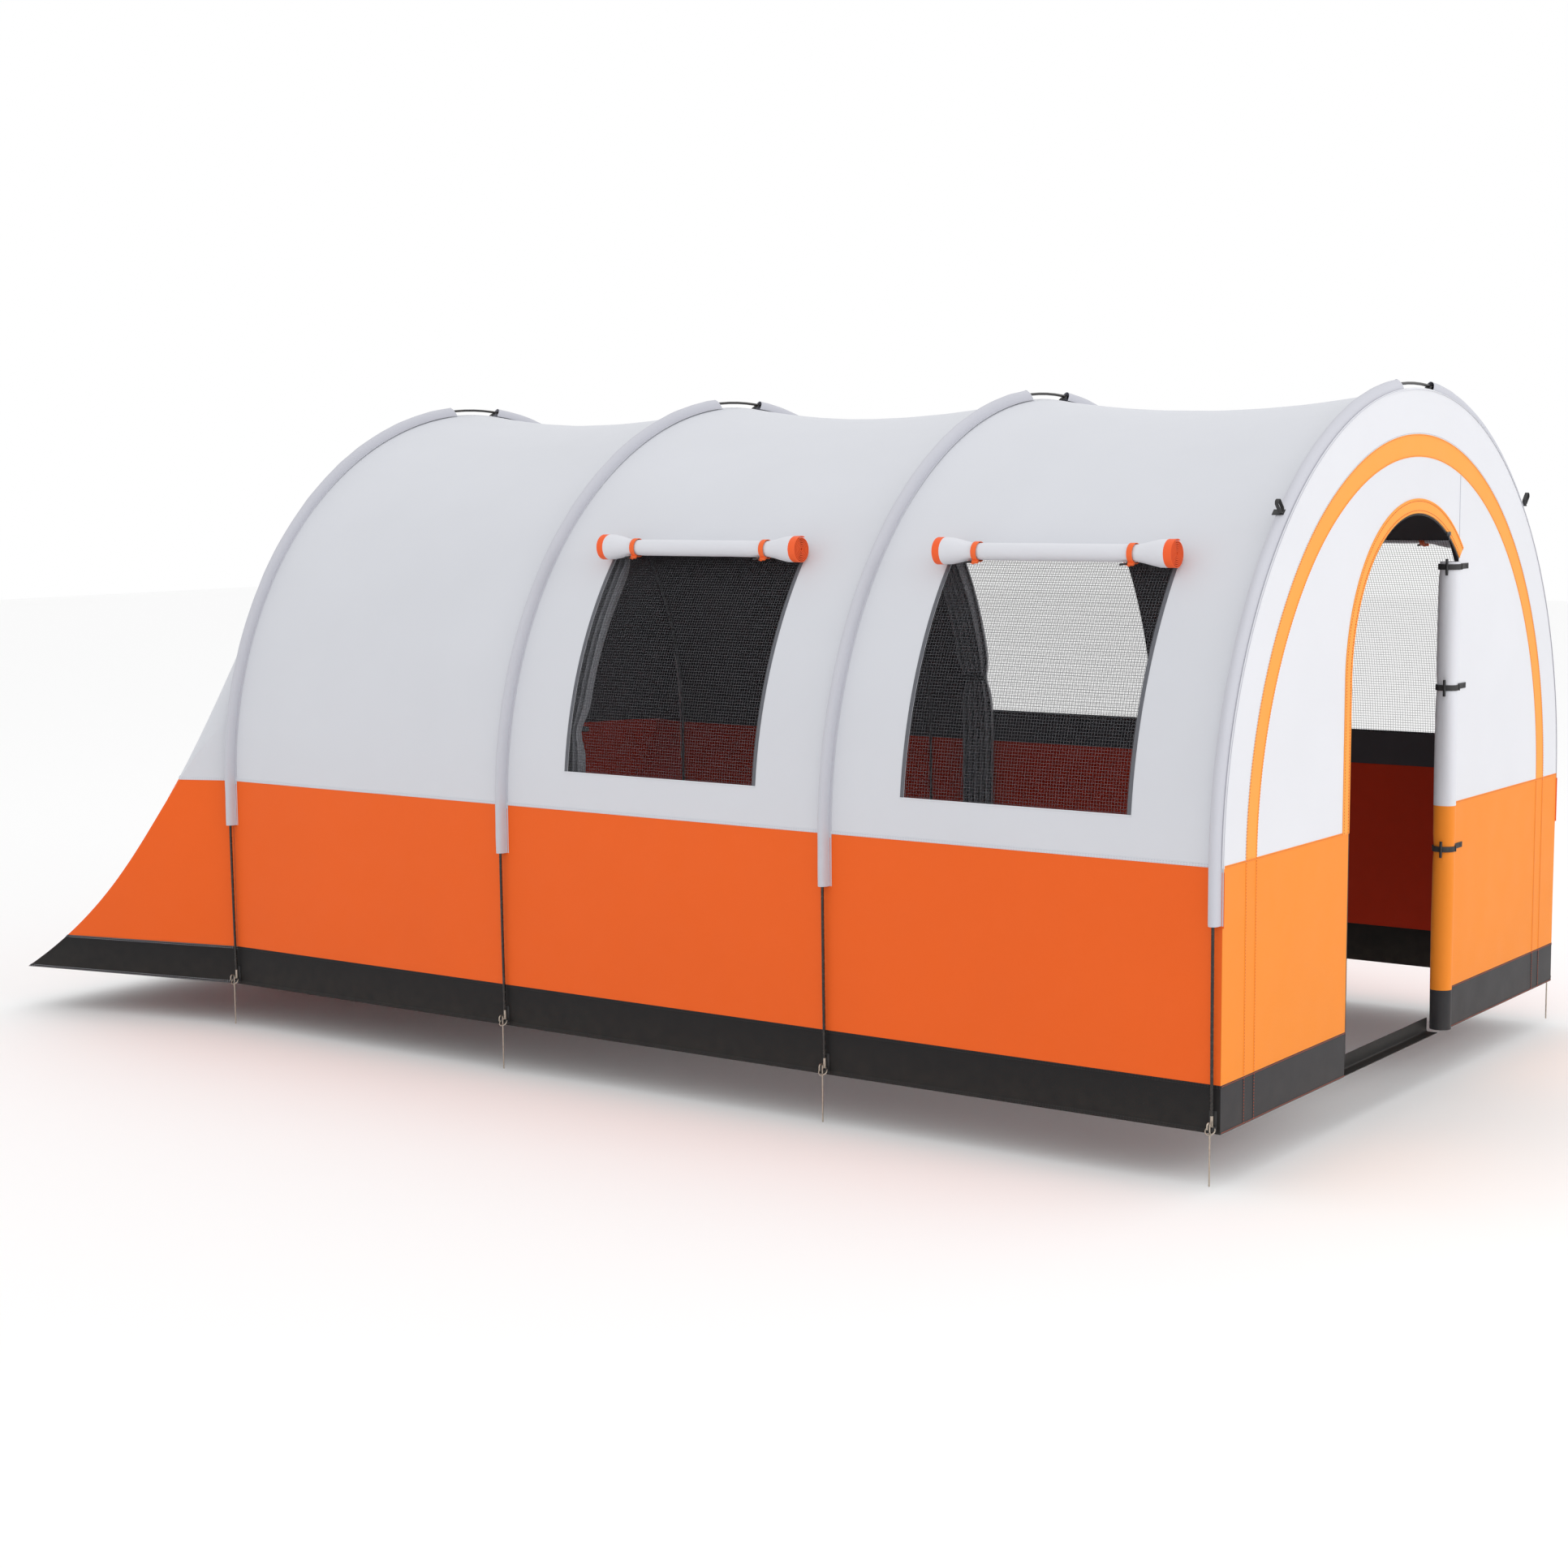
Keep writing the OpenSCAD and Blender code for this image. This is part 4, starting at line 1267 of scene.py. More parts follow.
    def _seams(self) -> None:
        """Lays every seam of the front wall and sews it."""
        front, tent = self.front, self.front.tent
        lift = 0.2 * MM
        keep = []
        for name, radius in (("outer", front.band_outer), ("inner", front.band_inner)):
            path = self._arc(radius, lift)
            keep.append(path)
            keep_trim(SHEETS.tape(f"front_band_edge_{name}", path, self.edge_w, self.finish.trim),
                      "trim_cloth")
        uprights = []
        for side in Side:
            for name, radius in (("outer", front.band_outer), ("inner", front.band_inner)):
                y = side.sign * radius
                for part, low, high, material, slot in (
                        ("wall", tent.skirt_h, tent.wall_h, self.finish.painted_lit_front_orange, "side_cloth"),
                        ("skirt", 0.0, tent.skirt_h, self.finish.painted_lit_front_skirt, "skirt_cloth")):
                    path = self._upright(y, low + MM, high - MM, lift)
                    keep_trim(SHEETS.tape(f"front_{part}_seam_{side.value}_{name}", path, self.seam_w,
                                          material),
                              slot)
                    uprights.append(path)
            y0, y1 = ((-tent.half_w, -front.door_r) if side is Side.LEFT else (front.hinge_y, tent.half_w))
            for part, z, material, slot in (
                    ("colour", tent.wall_h + self.seam_w / 2, self.finish.painted_lit_front_orange, "side_cloth"),
                    ("skirt", tent.skirt_h - self.seam_w / 2, self.finish.painted_lit_front_skirt, "skirt_cloth"),
                    ("hem", self.seam_w / 2 + MM, self.finish.painted_lit_front_skirt, "skirt_cloth")):
                path = self._level(y0 + MM, y1 - MM, z, lift)
                keep_trim(SHEETS.tape(f"front_{part}_seam_{side.value}", path, self.seam_w, material), slot)
                uprights.append(path)
        top = tent.wall_h + math.sqrt(front.band_inner**2 - front.hinge_y**2)
        end = front.door_spring + front.door_r * math.sin(front.arch_end)
        hinge = self._upright(front.hinge_y, end, top - 3 * MM, lift)
        keep_trim(SHEETS.tape("hinge_seam_upper", hinge, 4 * MM, self.finish.sleeve), "front_cloth")
        corner = []
        for a in evenly(0.0, math.pi, 161):
            out = Vector((0, -math.cos(a), math.sin(a)))
            middle = Vector((tent.front_x, 0, tent.wall_h)) + out * tent.half_w
            corner.append((middle, (out + Vector((1, 0, 0))).normalized()))
        keep_trim(SHEETS.tape("front_corner_seam", corner, 7 * MM, self.finish.painted_lit_front_grey), "front_cloth")
        keep_trim(SHEETS.stitches("front_pale_stitches", [self._arc(front.band_outer + 5 * MM, lift), hinge],
                                  (0.0,), 0.5 * MM, self.finish.pale_thread), "front_cloth")
        keep_trim(SHEETS.stitches("front_orange_stitches", keep + uprights, (0.0,), 1.2 * MM,
                                  self.finish.orange_thread), "side_cloth")


@dataclass
class Doorway:
    """Folded piping round the doorway, its zip chain and its threshold strip."""

    front: FrontShape
    finish: Finishes
    tooth_pitch: float = 5 * MM

    def build(self) -> None:
        """Builds the piping, the zip and the threshold."""
        self._piping()
        self._zip()
        self._threshold()

    def _path(self, bottom: float, lift: float, count: int) -> list[tuple[Vector, Vector]]:
        """Path along the doorway's free edge."""
        return [(self.front.point(y, z, lift), Vector((1, 0, 0)))
                for y, z in self.front.outline(count, bottom, closed=False)]

    def _piping(self) -> None:
        """Lays the wide tape, its two rolled edges and its stitches."""
        front = self.front
        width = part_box("door_piping")[1].z - front.door_spring - front.door_r
        bottom = front.tent.wall_h
        path = self._path(bottom, 0.3 * MM, 161)
        tape = SHEETS.tape("door_piping_tape", path, width, self.finish.trim, 1.4 * MM, width / 2)
        edges = [SHEETS.tape(f"door_piping_edge_{k}", path, 5 * MM, self.finish.trim, 2.6 * MM, shift)
                 for k, shift in enumerate((2.5 * MM, width - 2.5 * MM))]
        for edge in edges:
            keep_trim(edge, "trim_cloth")
        keep_trim(tape, "trim_cloth", ["door_piping"])
        stitches = SHEETS.stitches("door_piping_stitches", [path], (8 * MM, width - 8 * MM), 2.1 * MM,
                                   self.finish.orange_thread)
        keep_trim(stitches, "trim_cloth")

    def _zip(self) -> None:
        """Lays the coil chain: a tape and its rows of teeth, up to the top of the arch."""
        low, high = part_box("door_zip_chain")
        width = 6 * MM
        path = [step for step in self._path(low.z, -1.2 * MM, 181) if step[0].y <= high.y]
        tape = SHEETS.tape("zip_tape", path, width, self.finish.zip_tape, 1.0 * MM, -width / 2)
        keep_trim(tape, "zip_tape", ["door_zip_chain"])
        teeth = Sheets(stitch_l=3.2 * MM, stitch_w=1.9 * MM, stitch_pitch=self.tooth_pitch)
        for k, shift in enumerate((-2.0 * MM, -4.2 * MM)):
            row = teeth.stitches(f"zip_teeth_{k}", [path], (shift,), 0.9 * MM, self.finish.nylon)
            keep_trim(row, "zip_tape")

    def _threshold(self) -> None:
        """Folds the strip that crosses the doorway: flat on the ground, with an upright lip."""
        low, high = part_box("door_threshold")
        thick = 2.2 * MM
        lip_x = low.x + 4 * MM
        bend = 5 * MM
        profile = [(high.x, thick)]
        profile += [(x, thick) for x in evenly(high.x - bend, lip_x + bend, 5)]
        profile += [(lip_x + bend * (1 - math.sin(a)), thick + bend * (1 - math.cos(a)))
                    for a in evenly(0.2, math.pi / 2, 6)]
        profile += [(lip_x, z) for z in evenly(thick + 2 * bend, high.z, 5)]
        rows = []
        for y in evenly(low.y, high.y, 60):
            sway = 1.2 * MM * noise.noise(Vector((y * 8, 0, 60)))
            rows.append([Vector((x + sway * (z / high.z), y, z)) for x, z in profile])
        piece = SHEETS.sheet("threshold_strip", rows, lambda p: Vector((0.5, 0, 1)),
                             (self.finish.skirt, self.finish.skirt), 2 * MM)
        keep_cloth(piece, ["door_threshold"], "skirt_cloth", flat_size(rows))


# --------------------------------------------------------------- rolled cloth


@dataclass(frozen=True)
class Winding:
    """A sheet wound round an axis, and the flap that leads from it to its seam.

    Angles turn from the first to the second direction of the plane that it is wound in.
    """

    centre: tuple[float, float]
    seam: tuple[float, float]
    radius: float
    core: float
    turns: int
    steps: int = 26

    def points(
        self, grow: float, wobble: Callable[[float], float], reach: float = 1.0
    ) -> list[tuple[float, float]]:
        """Points from the core to the seam.

        Args:
            grow: Factor on the roll's radius.
            wobble: Factor on the radius at an angle.
            reach: Share of the way to the seam at which the flap ends.

        Returns:
            Places in the plane.
        """
        to_seam = (self.seam[0] - self.centre[0], self.seam[1] - self.centre[1])
        away = math.hypot(*to_seam)
        leave = math.atan2(to_seam[1], to_seam[0]) - math.acos(min(1.0, self.radius * grow / away))
        count = self.turns * self.steps
        points = []
        for k in range(count + 1):
            angle = leave - math.tau * (count - k) / self.steps
            r = (self.core + (self.radius - self.core) * k / count) * grow * wobble(angle)
            points.append((self.centre[0] + r * math.cos(angle), self.centre[1] + r * math.sin(angle)))
        last = points[-1]
        for share in (0.25 * reach, 0.5 * reach, 0.75 * reach, reach):
            points.append((last[0] + (self.seam[0] - last[0]) * share,
                           last[1] + (self.seam[1] - last[1]) * share))
        return points


def add_open_band(
    name: str, place: Vector, axis: str, radius: float, width: float, thickness: float,
    material: bpy.types.Material,
) -> bpy.types.Object:
    """Models a band of webbing round a roll.

    Args:
        name: Name of the piece.
        place: Its middle.
        axis: "X" or "Z", the roll's axis.
        radius: Its inner radius.
        width: Width of the webbing.
        thickness: Its thickness.
        material: Its finish.

    Returns:
        The piece.
    """
    bpy.ops.object.select_all(action="DESELECT")
    turn = (0, math.pi / 2, 0) if axis == "X" else (0, 0, 0)
    bpy.ops.mesh.primitive_cylinder_add(vertices=48, radius=radius, depth=width, end_fill_type="NOTHING",
                                        location=place, rotation=turn)
    band = bpy.context.object
    band.name = name
    place_down(band)
    bpy.ops.object.mode_set(mode="EDIT")
    bpy.ops.mesh.select_all(action="SELECT")
    bpy.ops.mesh.normals_make_consistent(inside=False)
    bpy.ops.object.mode_set(mode="OBJECT")
    apply_modifier(band, "SOLIDIFY", thickness=thickness, offset=1.0)
    apply_modifier(band, "BEVEL", width=thickness * 0.3, segments=2, limit_method="ANGLE")
    smooth(band, 35)
    return give(band, material)


def add_strap(
    name: str, place: Vector, size: Vector, material: bpy.types.Material, turn: Vector = Vector((0, 0, 0)),
    round_mm: float = 0.7,
) -> bpy.types.Object:
    """Models a short flat piece of webbing: a block pinched at both ends by its bar tacks.

    Args:
        name: Name of the piece.
        place: Its middle.
        size: Its size before it is turned.
        material: Its finish.
        turn: Its turn about X, Y and Z, in radians.
        round_mm: Radius of its edges.

    Returns:
        The piece.
    """
    bpy.ops.object.select_all(action="DESELECT")
    bpy.ops.mesh.primitive_cube_add(size=1, location=place, rotation=turn)
    strap = bpy.context.object
    strap.name = name
    strap.scale = size
    place_down(strap)
    apply_modifier(strap, "BEVEL", width=round_mm * MM, segments=2, limit_method="ANGLE")
    smooth(strap, 35)
    return give(strap, material)


def add_toggle(
    name: str, place: Vector, axis: Vector, length: float, radius: float, material: bpy.types.Material
) -> bpy.types.Object:
    """Models a barrel toggle with rounded ends and a waist for its cord.

    Args:
        name: Name of the piece.
        place: Its middle.
        axis: The way it points.
        length: Its length.
        radius: Its radius.
        material: Its finish.

    Returns:
        The piece.
    """
    bpy.ops.object.select_all(action="DESELECT")
    turn = Vector((0, 0, 1)).rotation_difference(axis.normalized()).to_euler()
    bpy.ops.mesh.primitive_cylinder_add(vertices=20, radius=radius, depth=length, location=place,
                                        rotation=turn)
    toggle = bpy.context.object
    toggle.name = name
    bpy.ops.object.mode_set(mode="EDIT")
    bpy.ops.mesh.select_all(action="SELECT")
    bpy.ops.mesh.bisect(plane_co=place + axis.normalized() * length * 0.08, plane_no=axis.normalized())
    bpy.ops.mesh.select_all(action="SELECT")
    bpy.ops.mesh.bisect(plane_co=place - axis.normalized() * length * 0.08, plane_no=axis.normalized())
    bpy.ops.mesh.select_all(action="SELECT")
    bpy.ops.mesh.bisect(plane_co=place, plane_no=axis.normalized())
    bpy.ops.object.mode_set(mode="OBJECT")
    place_down(toggle)
    for vertex in toggle.data.vertices:
        along = (vertex.co - place).dot(axis.normalized())
        if abs(along) < length * 0.02:
            centre = place + axis.normalized() * along
            vertex.co = centre + (vertex.co - centre) * 0.72
    apply_modifier(toggle, "BEVEL", width=radius * 0.3, segments=3, limit_method="ANGLE", angle_limit=0.9)
    smooth(toggle, 50)
    return give(toggle, material)


@dataclass
class WindowCovers:
    """The four rolled window covers, each with two orange ties and black toggles."""

    tent: TentShape
    finish: Finishes
    band_w: float = 34 * MM
    flare_l: float = 120 * MM
    cloth_t: float = 2.4 * MM
    tie_x: float = 245 * MM
    tie_w: float = 17 * MM

    def build(self) -> None:
        """Builds the covers of both walls."""
        for side in Side:
            for bay in (1, 2):
                self._cover(side, bay)

    def _cover(self, side: Side, bay: int) -> None:
        """Winds one cover and ties it."""
        node = f"window_cover_{side.value}_{bay}"
        low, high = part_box(node)
        middle = (low + high) / 2
        end_r, half_l = (high.z - low.z) / 2, (high.x - low.x) / 2
        seam = next(j["pos_m"] for j in frame["joints"] if j["child"] == f"cover_{side.value}_{bay}")
        mid_r = middle_radius(node, middle)
        winding = Winding((abs(middle.y), middle.z), (abs(seam[1]), seam[2]), mid_r - MM, 2.5 * MM, 7)
        rows = []
        for x in evenly(-half_l, half_l, 33):
            flare = min(1.0, max(0.0, (abs(x) - (half_l - self.flare_l)) / (self.flare_l - self.band_w)))
            swell = 1 + (end_r / mid_r - 1) * flare * flare * (3 - 2 * flare)
            pinch = 1 - 0.06 * math.exp(-((abs(x) - self.tie_x) / (14 * MM)) ** 2)

            def wobble(angle: float, x: float = x) -> float:
                """Slight folds along the roll."""
                return pinch * (1 + 0.025 * noise.noise(Vector((x * 14, math.cos(angle), math.sin(angle)))))

            rows.append([Vector((middle.x + x, side.sign * y, z)) for y,
                         z in winding.points(swell, wobble, max(0.02, 1 - flare))])
        axis = Vector((0, middle.y, middle.z))
        piece = SHEETS.sheet(
            f"cover_roll_{side.value}_{bay}", rows, lambda p: Vector((0, p.y, p.z)) - axis,
            (self.finish.roll, self.finish.roll_end, self.finish.roll, self.finish.roll_end), self.cloth_t,
            zone=lambda p: int(abs(p.x - middle.x) > half_l - self.band_w), sharp_deg=50)
        body = f"cover_{side.value}_{bay}"
        keep_cloth(piece, [node], "upper_cloth", flat_size(rows),
                   body=body)
        self._ties(side, bay, middle, mid_r, body)

    def _ties(self, side: Side, bay: int, middle: Vector, radius: float, body: str) -> None:
        """Ties one roll: a band, a knotted tail and a toggle at each side."""
        parts = []
        toggles = []
        for k, where in enumerate((-1, 1)):
            place = middle + Vector((where * self.tie_x, 0, 0))
            name = f"{side.value}_{bay}_{k}"
            parts.append(add_open_band(f"cover_tie_band_{name}", place, "X", radius + 0.5 * MM, self.tie_w,
                                       1.8 * MM, self.finish.tie))
            down = Vector((0, side.sign * 0.5, -0.866))
            knot = place + down * (radius + 4 * MM)
            parts.append(add_strap(f"cover_tie_knot_{name}", knot, Vector((20, 13, 9)) * MM, self.finish.tie,
                                   Vector((side.sign * -0.6, 0, 0.1)), 2.5))
            parts.append(add_strap(f"cover_tie_tail_{name}", knot + Vector((-13 * MM, 0, -3 * MM)),
                                   Vector((22, 9, 2.2)) * MM, self.finish.tie,
                                   Vector((side.sign * -0.4, 0.35, 0.0))))
            toggles.append(add_toggle(f"cover_toggle_{name}",
                                      knot + Vector((-20 * MM, side.sign * 6 * MM, -2 * MM)),
                                      Vector((1, 0, 0.15)), 24 * MM, 3.2 * MM, self.finish.nylon))
        ties = join(f"cover_tie_pair_{side.value}_{bay}", parts)
        keep_trim(ties, "side_cloth", [f"cover_ties_{side.value}_{bay}"], body)
        keep_trim(join(f"cover_toggle_pair_{side.value}_{bay}", toggles), "webbing", body=body)


def middle_radius(node: str, middle: Vector) -> float:
    """Radius of a roll halfway along it, from the CAD node's own surface."""
    radii = [math.hypot(v.co.y - middle.y, v.co.z - middle.z) for v in frame["nodes"][node].data.vertices
             if abs(v.co.x - middle.x) < 0.26]
    low = min((r for r in radii if r > 5 * MM), default=26.5 * MM)
    return low


@dataclass
class RolledDoor:
    """The door, rolled on its hinge seam and held by three straps with toggles."""

    front: FrontShape
    finish: Finishes
    tie_heights: tuple[float, ...] = (0.567, 1.060, 1.425)
    tie_w: float = 17 * MM
    cloth_t: float = 2.6 * MM
    toggle_l: float = 50 * MM
    hinge_gap: float = 3 * MM

    def build(self) -> None:
        """Winds the door and ties it."""
        tent = self.front.tent
        low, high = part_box("door_roll")
        middle = (low + high) / 2
        radius = (high.y - low.y) / 2
        hinge = (tent.front_x, self.front.hinge_y - self.hinge_gap)
        winding = Winding((middle.x, middle.y), hinge, radius - 1.5 * MM, 4 * MM, 7)
        heights = evenly(low.z, high.z, 60, (tent.skirt_h, tent.wall_h))
        rows = []
        for z in heights:
            pinch = 1 - sum(0.10 * math.exp(-((z - t) / (22 * MM)) ** 2) for t in self.tie_heights)

            def wobble(angle: float, z: float = z, pinch: float = pinch) -> float:
                """Long soft folds down the roll."""
                folds = 0.045 * math.cos(3 * angle + 2.1 * z) * (1 - abs(2 * z / high.z - 1) ** 3)
                return pinch * (1 + folds + 0.05 * noise.noise(Vector((math.cos(angle), math.sin(angle),
                                                                       z * 3))))

            rows.append([Vector((x, y, z)) for x, y in winding.points(1.0, wobble)])
        finish = self.finish

        def zone(p: Vector) -> int:
            """Charcoal at the foot, orange up to the colour seam, grey above."""
            return 0 if p.z < tent.skirt_h else 1 if p.z < tent.wall_h else 2

        piece = SHEETS.sheet(
            "door_roll_cloth", rows, lambda p: Vector((p.x - middle.x, p.y - middle.y, 0)),
            (finish.painted_lit_front_skirt, finish.painted_lit_front_orange, finish.roll, finish.painted_shade_inside_skirt, finish.painted_shade_inside_orange,
             finish.painted_shade_inside_grey), self.cloth_t, zone=zone, sharp_deg=50)
        keep_cloth(piece, ["door_roll"], "front_cloth", flat_size(rows),
                   body="door")
        self._ties(middle, radius)

    def _ties(self, middle: Vector, radius: float) -> None:
        """Straps round the roll, their toggles, and the patches that they are sewn to."""
        bands, toggles = [], []
        for k, z in enumerate(self.tie_heights):
            place = Vector((middle.x, middle.y, z))
            bands.append(add_open_band(f"door_tie_band_{k}", place, "Z", radius * 0.93, self.tie_w, 1.8 * MM,
                                       self.finish.webbing))
            edge = place + Vector((6 * MM, -(radius + 4 * MM), 0))
            toggles.append(add_toggle(f"door_toggle_{k}", edge, Vector((0, 0, 1)), self.toggle_l, 4.2 * MM,
                                      self.finish.nylon))
            self._crossing(k, middle, radius, z)
        keep_trim(join("door_tie_bands", bands), "webbing", ["door_ties"], "door")
        keep_trim(join("door_toggles", toggles), "webbing", body="door")
        self._patches()

    def _crossing(self, k: int, middle: Vector, radius: float, z: float) -> None:
        """Strap that crosses the hinge seam, from the band on the roll to its patch on the wall."""
        front = self.front
        face_x = front.tent.front_x
        roll_x = middle.x + radius
        start, end = front.hinge_y + 12 * MM, middle.y + 4 * MM
        rows = []
        for share in evenly(0.0, 1.0, 15):
            y = start + (end - start) * share
            ease = share * share * (3 - 2 * share)
            x = face_x + 2.6 * MM + (roll_x - face_x - 1.0 * MM) * ease
            rows.append([Vector((x, y, z + w * self.tie_w)) for w in (-0.5, -0.47, 0.0, 0.47, 0.5)])
        piece = SHEETS.sheet(f"door_tie_strap_{k}", rows, lambda p: Vector((1, 0.4, 0)),
                             (self.finish.webbing, self.finish.webbing), 1.8 * MM)
        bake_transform(piece)
        LOG.info("strap %s bends over the hinge seam", piece.name)

    def _patches(self) -> None:
        """Webbing patches on the wall beside the hinge seam, each with a crossed tack."""
        low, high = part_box("door_tie_anchors")
        patches, tacks = [], []
        for k, z in enumerate(self.tie_heights):
            place = Vector(((low.x + high.x) / 2 + 0.4 * MM, (low.y + high.y) / 2, z))
            size = Vector((high.x - low.x, high.y - low.y, self.tie_w))
            patches.append(add_strap(f"door_tie_patch_{k}", place, size, self.finish.webbing))
            face = place + Vector((size.x / 2, 0, 0))
            out = Vector((1, 0, 0))
            reach_y, reach_z = 7 * MM, size.z * 0.34
            for a, b in (((-1, -1), (1, 1)), ((-1, 1), (1, -1)), ((-1, -1), (-1, 1)), ((1, -1), (1, 1))):
                tacks.append([(face + Vector((0, size.y * 0.28 + a[0] * reach_y, a[1] * reach_z)), out),
                              (face + Vector((0, size.y * 0.28 + b[0] * reach_y, b[1] * reach_z)), out)])
        keep_trim(join("door_tie_patches", patches), "webbing", ["door_tie_anchors"])
        small = Sheets(stitch_l=3 * MM, stitch_w=1.0 * MM, stitch_pitch=4 * MM)
        keep_trim(small.stitches("door_tie_tacks", tacks, (0.0,), 0.3 * MM, self.finish.dark_thread),
                  "webbing")


# -------------------------------------------------------------------- sleeves


@dataclass
class PoleSleeves:
    """Sleeves of the four hoops, with their end tabs, orange patches and guy loops."""

    tent: TentShape
    finish: Finishes
    pole_r: float
    gap: float = 110 * MM
    half_w: float = 15 * MM
    flange: float = 7 * MM
    slant: float = 20 * MM
    lower_end: float = 0.55

    def build(self) -> None:
        """Builds the sleeves and their fittings."""
        for hoop in range(1, 5):
            halves = [self._half(hoop, side) for side in Side]
            piece = join(f"sleeve_cloth_{hoop}", halves)
            length = 2 * (self._run() + self.tent.wall_h - self.lower_end)
            keep_cloth(piece, [f"pole_sleeve_{hoop}"], "sleeve_cloth", (self._girth(), length))
        self._patches()
        self._tabs()
        self._guy_loops()

    def _run(self) -> float:
        """Length of one half along the arch."""
        radius = self.pole_r
        return radius * (math.pi / 2 - math.asin(self.gap / radius))

    def _profile(self) -> list[tuple[float, float]]:
        """Section: places along the tent, and lifts above the cloth."""
        crown = self.pole_r - self.tent.half_w + 14 * MM
        points = [(-self.half_w - self.flange, 1.0 * MM), (-self.half_w - self.flange * 0.4, 1.1 * MM)]
        for k in range(15):
            angle = math.pi * k / 14
            points.append((-self.half_w * math.cos(angle),
                           1.4 * MM + (crown - 1.4 * MM) * math.sin(angle) ** 0.8))
        points += [(self.half_w + self.flange * 0.4, 1.1 * MM), (self.half_w + self.flange, 1.0 * MM)]
        return points

    def _girth(self) -> float:
        """Width of the cut cloth."""
        points = self._profile()
        return sum(math.dist(a, b) for a, b in zip(points, points[1:]))

    def _half(self, hoop: int, side: Side) -> bpy.types.Object:
        """Builds one half, from its lower end to the gap at the ridge."""
        tent = self.tent
        x0 = tent.hoops[hoop - 1]
        run, leg = self._run(), tent.wall_h - self.lower_end
        rows = []
        for reach in evenly(0.0, leg + run, 110, (leg,)):
            row = []
            for dx, lift in self._profile():
                ease = 1 + 0.05 * noise.noise(Vector((reach * 16 + hoop * 9, dx * 60, side.sign * 4.0)))
                up = 1.0 * MM + (lift - 1.0 * MM) * ease
                end = leg + run - (self.slant * (lift / (30 * MM)) if reach >= leg + run - 1e-6 else 0.0)
                at = min(reach, end)
                if at <= leg:
                    row.append(Vector((x0 + dx, side.sign * (tent.half_w + up), self.lower_end + at)))
                else:
                    angle = (at - leg) / self.pole_r
                    r = tent.half_w + up
                    row.append(Vector((x0 + dx, side.sign * r * math.cos(angle),
                                       tent.wall_h + r * math.sin(angle))))
            rows.append(row)
        return SHEETS.sheet(f"sleeve_half_{hoop}_{side.value}", rows, lambda p: Vector((0, p.y, p.z - 0.35)),
                            (self.finish.sleeve, self.finish.sleeve), 0.9 * MM, sharp_deg=55)

    def _patches(self) -> None:
        """Orange strips on the wall behind the lower end of each sleeve."""
        tent = self.tent
        strips = []
        for hoop, x in enumerate(tent.hoops, 1):
            for side in Side:
                path = [(Vector((x, side.sign * (tent.half_w + 0.4 * MM), z)), Vector((0, side.sign, 0)))
                        for z in evenly(self.lower_end - 6 * MM, tent.wall_h - 10 * MM, 12)]
                strips.append(SHEETS.tape(f"sleeve_patch_{hoop}_{side.value}", path, 48 * MM,
                                          self.finish.orange,
                                          0.8 * MM))
        keep_trim(join("sleeve_patch_strips", strips), "side_cloth", ["sleeve_patches"])

    def _tabs(self) -> None:
        """Black webbing tabs at the sleeves' mouths, beside the ridge."""
        tent = self.tent
        tabs = []
        radius = self.pole_r + 4 * MM
        for hoop, x in enumerate(tent.hoops, 1):
            angle = math.acos((self.gap - 6 * MM) / radius)
            place = Vector((x, radius * math.cos(angle), tent.wall_h + radius * math.sin(angle) - 12 * MM))
            tabs.append(add_strap(f"sleeve_tab_{hoop}", place, Vector((19, 24, 2.4)) * MM,
                                  self.finish.webbing,
                                  Vector((angle - math.pi / 2 + 0.55, 0, 0))))
        keep_trim(join("sleeve_end_tab_set", tabs), "webbing", ["sleeve_end_tabs"])

    def _guy_loops(self) -> None:
        """Webbing loops for guy lines on the first hoop: a strip over the sleeve, and a loop."""
        tent = self.tent
        parts = []
        for side in Side:
            angle = math.radians(45)
            out = Vector((0, side.sign * math.cos(angle), math.sin(angle)))
            along = Vector((0, -side.sign * math.sin(angle), math.cos(angle)))
            base = Vector((tent.hoops[0], 0, tent.wall_h))
            r0 = self.pole_r + 14.5 * MM
            turn = Vector((0, 0, 1)).rotation_difference(out).to_euler()
            parts.append(add_strap(f"guy_strap_{side.value}", base + out * (r0 + 1.2 * MM),
                                   Vector((34, 20, 2.2)) * MM, self.finish.webbing, Vector(turn)))
            middle = base + out * (r0 + 25 * MM) + Vector((10 * MM, 0, 0))
            rows = []
            for k in range(33):
                turn_a = math.tau * k / 32
                u, v = math.cos(turn_a), math.sin(turn_a)
                across = math.copysign(min(1.0, abs(v) * 1.5), v) * 10 * MM
                centre = middle + out * (u * 22 * MM) + along * across
                rows.append([centre + Vector((w * 10 * MM, 0, 0)) for w in (-0.5, -0.25, 0.25, 0.5)])
            parts.append(SHEETS.sheet(f"guy_loop_{side.value}", rows, lambda p, m=middle: p - m,
                                      (self.finish.webbing, self.finish.webbing), 2.0 * MM))
        keep_trim(join("guy_loop_pair", parts), "webbing", ["guy_loops"])


# -------------------------------------------------------------------- windows


